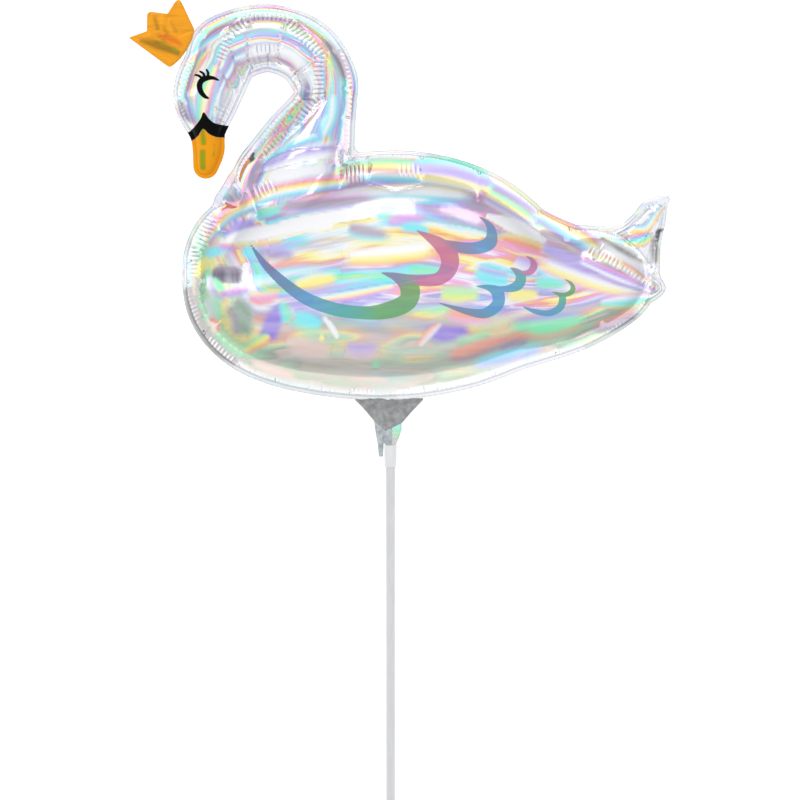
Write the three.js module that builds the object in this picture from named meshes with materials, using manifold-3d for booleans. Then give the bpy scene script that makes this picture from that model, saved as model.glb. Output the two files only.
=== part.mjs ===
// A swan-shaped foil balloon on a stick, lying on its side.
// Millimetres. In the swan's own frame X runs from the beak to the tail, Y from the stick up to the head,
// and Z across the two foil faces, with the seam in the plane Z = 0 and the stick's line at X = 0.

import * as THREE from "three";
import { mergeVertices } from "three/addons/utils/BufferGeometryUtils.js";
import Module from "manifold-3d";

const wasm = await Module();
wasm.setup();

// The envelope
const SWAN_LENGTH = 355; // crown tip to tail tip
const SEAM_MARGIN = 2.6; // flat welded strip outside the air chamber
const SEAM_THICKNESS = 0.9;
const BODY_FULLNESS = 0.67; // half thickness over half height
const NECK_FULLNESS = 0.9;
const TAIL_FULLNESS = 0.42;
const ROUND_POWER = 0.45; // below a half the faces are flatter and the rims rounder than an ellipse
const CHAMBER_BLEND = 7; // how softly the neck's chamber runs into the body's
const OUTLINE_BLEND = 6.5; // film left in the inner corners of the outline
const CROWN_RISE = 3.4;
const TAIL_TIP_RISE = 1.8;
const LYING_FLAT_DEPTH = 3.5; // how far the side it lies on is pressed in
const FACET = 6.2; // side of a facet
const CROWDING_REACH = 18; // depth inside the rim where facets crowd, because the faces turn fastest there
const CROWDING = 0.095; // how far a facet moves towards the rim, over that depth

// The film at the filling end
const SKIRT_WIDTH = 45;
const SKIRT_OFFSET = -1; // from the stick's line to the middle of the skirt
const SKIRT_THICKNESS = 3;
const SKIRT_DROP = 16;
const SKIRT_SHOULDER = 2; // where the slanted sides meet the film neck, above the skirt's end
const SKIRT_TUCK = 7; // how far the skirt runs up between the two faces
const FILM_NECK_WIDTH = 18.4;
const FILM_NECK_OFFSET = -1.6; // from the stick's line to the middle of the film neck
const FILM_NECK_LENGTH = 13.5;
const FILM_NECK_TAPER = 2.6; // how much each side draws in down the neck
const FOLD_STRIP_LENGTH = 8.4; // how far the folded strip hangs past the rest of the neck
const NECK_FILM_THICKNESS = 2.4;
const PLUG_LENGTH = 5; // gathered film inside the collar

// The collar and the stick
const STICK_DIAMETER = 6;
const STICK_WALL = 0.8;
const STICK_LENGTH = 300;
const COLLAR_WALL = 0.8;
const COLLAR_LENGTH = 14.5;
const STICK_SEAT = 8.5; // how much of the stick is inside the collar
const FIT_GAP = 0.3;
const ROUND_SIDES = 32;

// Pose and proportions of the swan, in thousandths of its length: X, Y and half width along each line.
const BODY_LINE = [
  [-240, 246, 145],
  [-218, 209, 164],
  [-144, 216, 202],
  [-23, 230, 230],
  [86, 230, 217],
  [197, 213, 164],
  [310, 206, 123],
  [389, 220, 97],
  [446, 212, 48],
  [486, 208, 22],
  [501, 208, 9],
];
const NECK_LINE = [
  [-183, 389, 114],
  [-156, 463, 89],
  [-134, 515, 69],
  [-121, 556, 59],
  [-123, 595, 61],
  [-160, 647, 63],
  [-229, 670, 63],
  [-301, 650, 67],
  [-317, 621, 65],
  [-340, 564, 62],
  [-340, 505, 36],
  [-338, 485, 31],
  [-337, 461, 29],
  [-342, 433, 23],
];
const TAIL_LINE = [
  [431, 254, 68],
  [456, 291, 45],
  [482, 335, 28],
];
// Flat film left in two inner corners, under the neck at the chest and before the tail.
const CHEST_WEB_LINE = [
  [-290, 400, 15],
  [-311, 373, 13],
];
const TAIL_WEB_LINE = [
  [401, 294, 17],
  [425, 290, 22],
];
// Corners of the flat fins, in the same thousandths, each with the point where its faces rise highest.
const CROWN = {
  corners: [
    [-484, 670],
    [-451, 683],
    [-451, 720],
    [-414, 715],
    [-392, 744],
    [-363, 687],
    [-352, 660],
    [-376, 628],
    [-409, 617],
  ],
  peak: [-410, 662],
};
const TAIL_TIP = {
  corners: [
    [516, 370],
    [510, 344],
    [505, 315],
    [480, 292],
    [452, 320],
    [470, 354],
    [488, 371],
    [504, 376],
  ],
  peak: [486, 336],
};
const LINE_STEPS = 14; // discs between two points of a line

const share = SWAN_LENGTH / 1000;

// Discs swept along a line of points, each with its centre and radius in millimetres.
function sweep(line) {
  const points = line.map(([x, y, r]) => new THREE.Vector3(x, y, r).multiplyScalar(share));
  const curve = new THREE.CatmullRomCurve3(points, false, "catmullrom", 0.5);
  return curve.getPoints((line.length - 1) * LINE_STEPS);
}

const BODY = { discs: sweep(BODY_LINE), fullness: BODY_FULLNESS };
const NECK = { discs: sweep(NECK_LINE), fullness: NECK_FULLNESS };
const TAIL = { discs: sweep(TAIL_LINE), fullness: TAIL_FULLNESS };
const CHAMBERS = [BODY, NECK, TAIL];
const WEBS = [CHEST_WEB_LINE, TAIL_WEB_LINE].map((line) => ({ discs: sweep(line) }));

// Distance outside the discs of one line, negative inside them.
function outside({ discs }, x, y) {
  let nearest = Infinity;
  for (const c of discs) nearest = Math.min(nearest, Math.hypot(x - c.x, y - c.y) - c.z);
  return nearest;
}

// Half thickness of a chamber: a round of air over each disc, short of the welded strip.
function halfThickness({ discs, fullness }, x, y) {
  let highest = 0;
  for (const c of discs) {
    const radius = c.z - SEAM_MARGIN;
    const inside = 1 - ((x - c.x) ** 2 + (y - c.y) ** 2) / radius ** 2;
    if (radius > 0 && inside > 0)
      highest = Math.max(highest, fullness * radius * inside ** ROUND_POWER);
  }
  return highest;
}

// The lower of two values, or the higher with a negative blend, with a rounded change from one to the other.
function blended(a, b, blend) {
  const h = THREE.MathUtils.clamp(0.5 + (0.5 * (b - a)) / blend, 0, 1);
  return b + (a - b) * h - blend * h * (1 - h);
}

// Distance outside the whole outline of the film.
function outline(x, y) {
  const distances = [...CHAMBERS, ...WEBS].map((line) => outside(line, x, y));
  return distances.reduce((a, b) => blended(a, b, OUTLINE_BLEND));
}

function swell(x, y) {
  const heights = CHAMBERS.map((c) => halfThickness(c, x, y)).sort((a, b) => b - a);
  const blend = Math.min(CHAMBER_BLEND, heights[1]);
  const height = blend > 0 ? blended(heights[0], heights[1], -blend) : heights[0];
  return Math.max(height, SEAM_THICKNESS / 2);
}

const bodyHalfThickness = Math.max(...BODY.discs.map((c) => swell(c.x, c.y)));
const restHeight = bodyHalfThickness - LYING_FLAT_DEPTH; // seam plane above the ground

// Moves a point straight across the outline until it is the given distance inside it.
function movedTo(depth, { x, y }) {
  const step = 0.01;
  for (let i = 0; i < 4; i++) {
    const distance = outline(x, y);
    const dx = (outline(x + step, y) - distance) / step;
    const dy = (outline(x, y + step) - distance) / step;
    const slope = Math.max(dx * dx + dy * dy, 0.25);
    x -= ((distance + depth) * dx) / slope;
    y -= ((distance + depth) * dy) / slope;
  }
  return { x, y, d: SEAM_MARGIN - depth };
}

// A hump from 0 to 0 whose top, a quarter of the way along, is 1.
const hump = (t) => (t * (1 - t) ** 3) / (0.25 * 0.75 ** 3);

// Crowds a point inside the chamber towards its rim.
function crowded(point) {
  const depth = -point.d;
  if (depth <= 0 || depth > CROWDING_REACH) return point;
  const shift = CROWDING * CROWDING_REACH * hump(depth / CROWDING_REACH);
  return movedTo(SEAM_MARGIN + depth - shift, point);
}

// The flat plan of the film: equal triangles cut along the chamber's rim, and the welded strip round them.
function filmPlan() {
  const reach = 0.6 * SWAN_LENGTH;
  const columns = Math.ceil((2 * reach) / FACET);
  const rowHeight = (FACET * Math.sqrt(3)) / 2;
  const rows = Math.ceil((1.6 * reach) / rowHeight);
  const points = [];
  for (let j = 0; j <= rows; j++)
    for (let i = 0; i <= columns; i++) {
      const x = -reach + (i + (j % 2) / 2) * FACET;
      const y = -0.1 * reach + j * rowHeight;
      const d = outline(x, y) + SEAM_MARGIN;
      const point = { x, y, d };
      points.push(Math.abs(d) < 0.32 * FACET ? movedTo(SEAM_MARGIN, point) : point);
    }
  const cuts = new Map();
  const cut = (a, b) => {
    const key = Math.min(a, b) + "," + Math.max(a, b);
    if (!cuts.has(key)) {
      const [p, q] = [points[Math.min(a, b)], points[Math.max(a, b)]];
      const t = p.d / (p.d - q.d);
      const crossing = { x: p.x + t * (q.x - p.x), y: p.y + t * (q.y - p.y) };
      cuts.set(key, points.push(movedTo(SEAM_MARGIN, crossing)) - 1);
    }
    return cuts.get(key);
  };
  const faces = [];
  const keep = (corners) => {
    const d = corners.map((c) => points[c].d);
    if (Math.min(...d) >= 0) return;
    const kept = [];
    corners.forEach((c, k) => {
      const next = (k + 1) % 3;
      if (d[k] <= 0) kept.push(c);
      if (d[k] * d[next] < 0) kept.push(cut(c, corners[next]));
    });
    for (let k = 2; k < kept.length; k++) faces.push([kept[0], kept[k - 1], kept[k]]);
  };
  for (let j = 0; j < rows; j++)
    for (let i = 0; i < columns; i++) {
      const here = j * (columns + 1) + i;
      const above = here + columns + 1;
      if (j % 2) {
        keep([here, here + 1, above + 1]);
        keep([here, above + 1, above]);
      } else {
        keep([here, here + 1, above]);
        keep([here + 1, above + 1, above]);
      }
    }
  const strip = new Map();
  const outer = (p) => {
    if (!strip.has(p)) strip.set(p, points.push(movedTo(0, points[p])) - 1);
    return strip.get(p);
  };
  for (const [p, q] of openEdges(faces)) faces.push([q, p, outer(p)], [q, outer(p), outer(q)]);
  return { points: points.map(crowded), faces };
}

// The edges that only one face has, in that face's direction.
function openEdges(faces) {
  const open = new Map();
  for (const [a, b, c] of faces)
    for (const [p, q] of [[a, b], [b, c], [c, a]])
      if (!open.delete(q + "," + p)) open.set(p + "," + q, [p, q]);
  return [...open.values()];
}

// A closed body from a flat plan: its upper face, its lower face, and a wall along each open edge.
function twoFaced({ points, faces }, upper, lower) {
  const used = [...new Set(faces.flat())];
  const place = new Map(used.map((p, i) => [p, i]));
  const position = [];
  for (const face of [upper, lower])
    for (const p of used) position.push(points[p].x, points[p].y, face(points[p]));
  const count = used.length;
  const index = [];
  for (const face of faces) {
    const [a, b, c] = face.map((p) => place.get(p));
    index.push(a, b, c, a + count, c + count, b + count);
  }
  for (const edge of openEdges(faces)) {
    const [p, q] = edge.map((point) => place.get(point));
    index.push(p, p + count, q, q, p + count, q + count);
  }
  const geometry = new THREE.BufferGeometry();
  geometry.setAttribute("position", new THREE.Float32BufferAttribute(position, 3));
  return geometry.setIndex(index);
}

function pillow() {
  return twoFaced(
    filmPlan(),
    (p) => (p.d < 0 ? swell(p.x, p.y) : SEAM_THICKNESS / 2),
    (p) => -(p.d < 0 ? Math.min(swell(p.x, p.y), restHeight) : SEAM_THICKNESS / 2),
  );
}

// A flat fin of film whose faces rise in facets to one point.
function fin({ corners, peak }, rise) {
  const points = [...corners, peak].map(([x, y]) => ({ x: x * share, y: y * share }));
  const top = points.length - 1;
  const ring = THREE.ShapeUtils.area(points.slice(0, top)) < 0 ? -1 : 1;
  const faces = corners.map((_, k) => {
    const next = (k + 1) % top;
    return ring > 0 ? [k, next, top] : [next, k, top];
  });
  const half = (p) => (p === points[top] ? rise : SEAM_THICKNESS / 2);
  return twoFaced({ points, faces }, half, (p) => -half(p));
}

// A flat sheet of folded film, centred on the seam plane.
function sheet(corners, thickness) {
  const shape = new THREE.Shape(corners.map(([x, y]) => new THREE.Vector2(x, y)));
  const geometry = new THREE.ExtrudeGeometry(shape, { depth: thickness, bevelEnabled: false });
  return geometry.translate(0, 0, -thickness / 2);
}

// A round piece along the stick's line, from a closed profile of [radius, distance down the stick].
function turned(profile) {
  const points = profile.map(([radius, along]) => new THREE.Vector2(radius, -along));
  return new THREE.LatheGeometry(points, ROUND_SIDES);
}

function tube(inner, outer, from, to) {
  return turned([
    [inner, from],
    [inner, to],
    [outer, to],
    [outer, from],
    [inner, from],
  ]);
}

// The filling end bends down by this angle, so that the end of the stick meets the ground.
const collarTop = FILM_NECK_LENGTH;
const stickTop = collarTop + COLLAR_LENGTH - STICK_SEAT;
const stickEnd = stickTop + STICK_LENGTH;
const stickRadius = STICK_DIAMETER / 2;
const collarInner = stickRadius + FIT_GAP;
const collarOuter = collarInner + COLLAR_WALL;
const neckLeft = FILM_NECK_OFFSET - FILM_NECK_WIDTH / 2;
const neckRight = neckLeft + FILM_NECK_WIDTH;
const droop =
  Math.asin(restHeight / Math.hypot(stickEnd, stickRadius)) - Math.atan2(stickRadius, stickEnd);

const fillingEnd = new THREE.Group();
fillingEnd.position.set(0, -SKIRT_DROP, 0);
fillingEnd.rotation.x = droop;

const swan = new THREE.Group();
swan.position.z = restHeight;
swan.add(fillingEnd);
const root = new THREE.Group();
root.add(swan);
root.updateMatrixWorld(true);

function solid(geometry, frame = swan) {
  const toSwan = swan.matrixWorld.clone().invert().multiply(frame.matrixWorld);
  const bare = geometry.clone().applyMatrix4(toSwan);
  bare.deleteAttribute("normal");
  bare.deleteAttribute("uv");
  const merged = mergeVertices(bare, 1e-4);
  return new wasm.Manifold(
    new wasm.Mesh({
      numProp: 3,
      vertProperties: merged.attributes.position.array,
      triVerts: new Uint32Array(merged.index.array),
    }),
  );
}

function geometryOf(made) {
  const { numProp, vertProperties, triVerts } = made.getMesh();
  const geometry = new THREE.BufferGeometry();
  const data = new THREE.InterleavedBuffer(vertProperties, numProp);
  geometry.setAttribute("position", new THREE.InterleavedBufferAttribute(data, 3, 0));
  geometry.setIndex(new THREE.BufferAttribute(triVerts, 1));
  return geometry;
}

function skirt() {
  const left = SKIRT_OFFSET - SKIRT_WIDTH / 2;
  const right = left + SKIRT_WIDTH;
  return sheet(
    [
      [left, SKIRT_TUCK],
      [left, 0],
      [neckLeft, SKIRT_SHOULDER - SKIRT_DROP],
      [neckLeft, -SKIRT_DROP],
      [neckRight, -SKIRT_DROP],
      [neckRight, SKIRT_SHOULDER - SKIRT_DROP],
      [right, 0],
      [right, SKIRT_TUCK],
    ],
    SKIRT_THICKNESS,
  );
}

// The film neck runs from the bend to the collar, and its folded strip hangs on beside the collar.
function filmNeck() {
  const end = FIT_GAP - collarTop;
  const besideCollar = -collarOuter - FIT_GAP;
  const stripLeft = Math.min(neckLeft + FILM_NECK_TAPER, besideCollar - FIT_GAP);
  return sheet(
    [
      [neckLeft, SKIRT_SHOULDER],
      [stripLeft, end - FOLD_STRIP_LENGTH],
      [besideCollar, end - FOLD_STRIP_LENGTH],
      [besideCollar, end],
      [neckRight - FILM_NECK_TAPER, end],
      [neckRight, SKIRT_SHOULDER],
    ],
    NECK_FILM_THICKNESS,
  );
}

// The film drawn together into a round plug that the collar holds.
function plug() {
  const radius = stickRadius;
  return turned([
    [0, 0],
    [0, collarTop + PLUG_LENGTH],
    [radius, collarTop + PLUG_LENGTH],
    [radius, collarTop - FIT_GAP],
    [NECK_FILM_THICKNESS / 2, 0],
    [0, 0],
  ]);
}

function envelope() {
  return [fin(CROWN, CROWN_RISE), fin(TAIL_TIP, TAIL_TIP_RISE), skirt()]
    .map((g) => solid(g))
    .concat([filmNeck(), plug()].map((g) => solid(g, fillingEnd)))
    .reduce((a, b) => a.add(b), solid(pillow()));
}

function piece(name, parent, geometry, look) {
  const mesh = new THREE.Mesh(geometry, new THREE.MeshStandardMaterial(look));
  mesh.name = name;
  parent.add(mesh);
}

piece("balloon", swan, geometryOf(envelope()), {
  color: 0xd9dde6,
  roughness: 0.15,
  metalness: 0.9,
});
piece(
  "collar",
  fillingEnd,
  tube(collarInner, collarOuter, collarTop, collarTop + COLLAR_LENGTH),
  { color: 0xe2e2e2, roughness: 0.3, metalness: 0 },
);
piece("stick", fillingEnd, tube(stickRadius - STICK_WALL, stickRadius, stickTop, stickEnd), {
  color: 0xd6d6d6,
  roughness: 0.35,
  metalness: 0,
});

// The origin is under the middle of the whole object, on the ground.
root.updateMatrixWorld(true);
const box = new THREE.Box3().setFromObject(root, true);
swan.position.x -= (box.min.x + box.max.x) / 2;
swan.position.y -= (box.min.y + box.max.y) / 2;
swan.position.z -= box.min.z;

export default root;
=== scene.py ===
"""A swan-shaped foil balloon on a stick, lying on its side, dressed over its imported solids.

Lengths are metres. In the swan's own frame X runs from the beak to the tail, Y from the stick up to
the head and Z across the two foil faces, with the seam in the plane Z = 0 and the stick at X = 0.
"""

import math

import bmesh
import bpy
import numpy as np
from mathutils import Matrix, Vector, noise
from mathutils.geometry import delaunay_2d_cdt
from mathutils.kdtree import KDTree


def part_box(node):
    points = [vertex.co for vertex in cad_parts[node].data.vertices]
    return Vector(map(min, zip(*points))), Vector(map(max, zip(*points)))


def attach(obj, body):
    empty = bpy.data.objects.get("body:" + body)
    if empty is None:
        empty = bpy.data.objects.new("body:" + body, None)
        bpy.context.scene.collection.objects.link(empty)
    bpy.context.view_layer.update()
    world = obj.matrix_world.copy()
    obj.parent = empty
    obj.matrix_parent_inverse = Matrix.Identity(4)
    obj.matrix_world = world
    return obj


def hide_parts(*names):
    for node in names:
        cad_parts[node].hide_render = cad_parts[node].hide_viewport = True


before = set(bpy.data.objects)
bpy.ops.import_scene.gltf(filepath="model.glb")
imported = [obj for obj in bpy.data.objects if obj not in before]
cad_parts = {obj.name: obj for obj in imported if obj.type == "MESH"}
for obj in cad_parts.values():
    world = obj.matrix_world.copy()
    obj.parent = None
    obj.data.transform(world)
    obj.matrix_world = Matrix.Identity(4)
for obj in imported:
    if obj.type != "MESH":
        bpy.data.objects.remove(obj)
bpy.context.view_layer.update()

bl_info = {
    "name": "Swan foil balloon",
    "version": (1, 0, 0),
    "blender": (4, 5, 0),
    "location": "View3D > Sidebar > Swan balloon",
    "description": "Dresses a swan-shaped foil balloon on its stick",
    "category": "Object",
}

BALLOON_LOW, BALLOON_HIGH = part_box("balloon")

MM = 0.001
SWAN_LENGTH = BALLOON_HIGH.x - BALLOON_LOW.x
SHARE = SWAN_LENGTH / 1000
PRESSED_IN = 3.5 * MM  # how far the side it lies on is flattened
REST_HEIGHT = (BALLOON_HIGH.z - BALLOON_LOW.z - PRESSED_IN) / 2
BOX_CORNER = (-484, 744)  # the balloon's lowest X and highest Y, in thousandths of its length
SWAN_ORIGIN = Vector((
    BALLOON_LOW.x - BOX_CORNER[0] * SHARE, BALLOON_HIGH.y - BOX_CORNER[1] * SHARE, REST_HEIGHT
))

BODY_FULLNESS = 0.67  # half thickness over half height
NECK_FULLNESS = 0.9
TAIL_FULLNESS = 0.42
ROUND_POWER = 0.45
CHAMBER_BLEND = 7 * MM
OUTLINE_BLEND = 6.5 * MM
BEND = SWAN_ORIGIN - Vector((0, 16 * MM, 0))  # where the filling end starts to droop
COLLAR_TOP = 13.5 * MM  # these two are measured down the stick from the bend
STICK_TOP = 19.5 * MM
FLAT_SIDE = 1e-6 * MM
PROBE = 0.01 * MM  # step over which the outline's slope is measured
WELD_ROWS = (0.5, 1.0, 1.02, 1.08, 1.2, 1.4, 1.75, 2.3, 3.1)  # rows of points, in seam margins
WELD_WAVES = (4.1 * MM, 13.7 * MM)
BAND_ROW = 1.9 * MM  # distance between the rows of points along a rib
INK_OVERLAP = 4 * MM  # how far the face's ink would run past the edge of the head
INK_RUN = 0.8 * MM  # how softly two inks of the feathers run into each other
FADING_SOFTNESS = 3.5  # bands softer than this, in millimetres, also fade towards their ends
FADING_SHARE = 0.16

# The studio: the room's colours from below to above, and the camera.
ROOM_COLOURS = [(0.0, "#e4e5e8"), (0.25, "#c9ccd2"), (0.6, "#f1f2f5"), (1.0, "#ffffff")]
PHOTO_WIDTH = 800  # pixels, of which the swan's length takes 540
SWAN_PIXELS = 540
AXIS_OFFSET = 9.5  # pixels from the stick to the middle of the photograph
SENSOR_WIDTH = 36
CAMERA_DISTANCE = 2.4
LAMP_TARGET = (0.0, 0.12, 0.05)

# Pose and proportions in thousandths of the swan's length: X, Y and half width along each line.
BODY_LINE = [
    (-240, 246, 145), (-218, 209, 164), (-144, 216, 202), (-23, 230, 230), (86, 230, 217),
    (197, 213, 164), (310, 206, 123), (389, 220, 97), (446, 212, 48), (486, 208, 22), (501, 208, 9),
]
NECK_LINE = [
    (-183, 389, 114), (-156, 463, 89), (-134, 515, 69), (-121, 556, 59), (-123, 595, 61),
    (-160, 647, 63), (-229, 670, 63), (-301, 650, 67), (-317, 621, 65), (-340, 564, 62),
    (-340, 505, 36), (-338, 485, 31), (-337, 461, 29), (-342, 433, 23),
]
TAIL_LINE = [(431, 254, 68), (456, 291, 45), (482, 335, 28), (501, 360, 12), (511, 372, 6)]
CHEST_WEB_LINE = [(-290, 400, 15), (-311, 373, 13)]
TAIL_WEB_LINE = [(401, 294, 17), (425, 290, 22)]
TAIL_TIP_WEB_LINE = [(478, 352, 14), (495, 366, 8)]

# Printed feathers as tapered strokes, each with the ink along it from its first point to its last.
FEATHERS = [
    (
        ("slate", "slate", "sky", "teal", "green", "green", "green", "mauve", "mauve"),
        [(-260, 291, 0.6), (-223, 241, 7.4), (-164, 191, 11.1), (-105, 166, 12), (-44, 158, 12),
         (1, 164, 15.4), (32, 180, 16.7), (34, 206, 17.2), (12, 222, 8.3), (-18, 231, 0.6)],
    ),
    (
        ("mauve", "rose", "rose", "rose"),
        [(-18, 231, 0.6), (18, 223, 5.6), (55, 217, 10.2), (88, 220, 12), (106, 239, 15.7),
         (106, 263, 16.3), (86, 285, 11.5), (45, 309, 0.6)],
    ),
    (
        ("rose", "mauve", "sky", "blue", "blue"),
        [(45, 309, 0.6), (84, 289, 5.6), (121, 278, 9.6), (155, 276, 11.1), (181, 286, 12),
         (184, 309, 8.3), (175, 324, 4.1), (160, 335, 0.6)],
    ),
    (
        ("mauve", "blue", "sky", "sky", "teal"),
        [(82, 178, 0.6), (114, 168, 3.7), (144, 160, 6.5), (173, 158, 9.3), (195, 174, 11.1),
         (195, 194, 11.1), (179, 204, 5.6), (153, 207, 0.6)],
    ),
    (
        ("teal", "sky", "teal", "mauve"),
        [(153, 207, 0.6), (181, 204, 3.3), (210, 202, 5.9), (232, 209, 9.3), (238, 224, 9.3),
         (229, 235, 5.2), (218, 241, 0.6)],
    ),
    (
        ("rose", "rose", "mauve"),
        [(218, 241, 0.6), (236, 232, 3.7), (253, 233, 5.6), (262, 244, 6.7), (258, 256, 3.7),
         (247, 263, 0.6)],
    ),
    (
        ("sky", "sky", "teal", "green"),
        [(238, 172, 0.6), (264, 162, 4.4), (290, 159, 5.7), (310, 169, 6.7), (315, 185, 6.5),
         (308, 194, 2.8), (295, 198, 0.6)],
    ),
    (
        ("green", "green"),
        [(295, 198, 0.6), (310, 193, 3.3), (325, 194, 4.4), (334, 202, 4.8), (331, 213, 3),
         (318, 222, 0.6)],
    ),
]
EYE_STROKES = [
    [(-316, 588, 1.6), (-327, 592, 3.5), (-339, 591, 4.8), (-348, 586, 5.4), (-351, 577, 5.4),
     (-348, 566, 4.8), (-341, 558, 3.5), (-335, 555, 1.8)],
    [(-359, 598, 1.9), (-352, 596, 2.4), (-345, 590, 2.8)],
    [(-350, 604, 1.9), (-344, 600, 2.4), (-341, 592, 2.8)],
    [(-338, 607, 1.9), (-335, 601, 2.4), (-336, 593, 2.8)],
]
# Painted green reflections on the bill: the film's rainbow showing through the orange ink.
BILL_PAINTED_GLINTS = [
    [(-347, 497, 4.2), (-345, 475, 5.9)], [(-347, 458, 6.2), (-347, 430, 6.2)],
    [(-326, 472, 2.4), (-327, 452, 2.4)],
]
BAND_TOP = [(-405, 484), (-382, 491), (-374, 496), (-362, 504), (-350, 518), (-344, 530),
            (-335, 519), (-323, 510), (-305, 508), (-280, 507)]
BAND_FOOT = [(-405, 472), (-377, 476), (-368, 480), (-355, 488), (-346, 500), (-335, 491),
             (-323, 486), (-309, 486), (-280, 487)]
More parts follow.
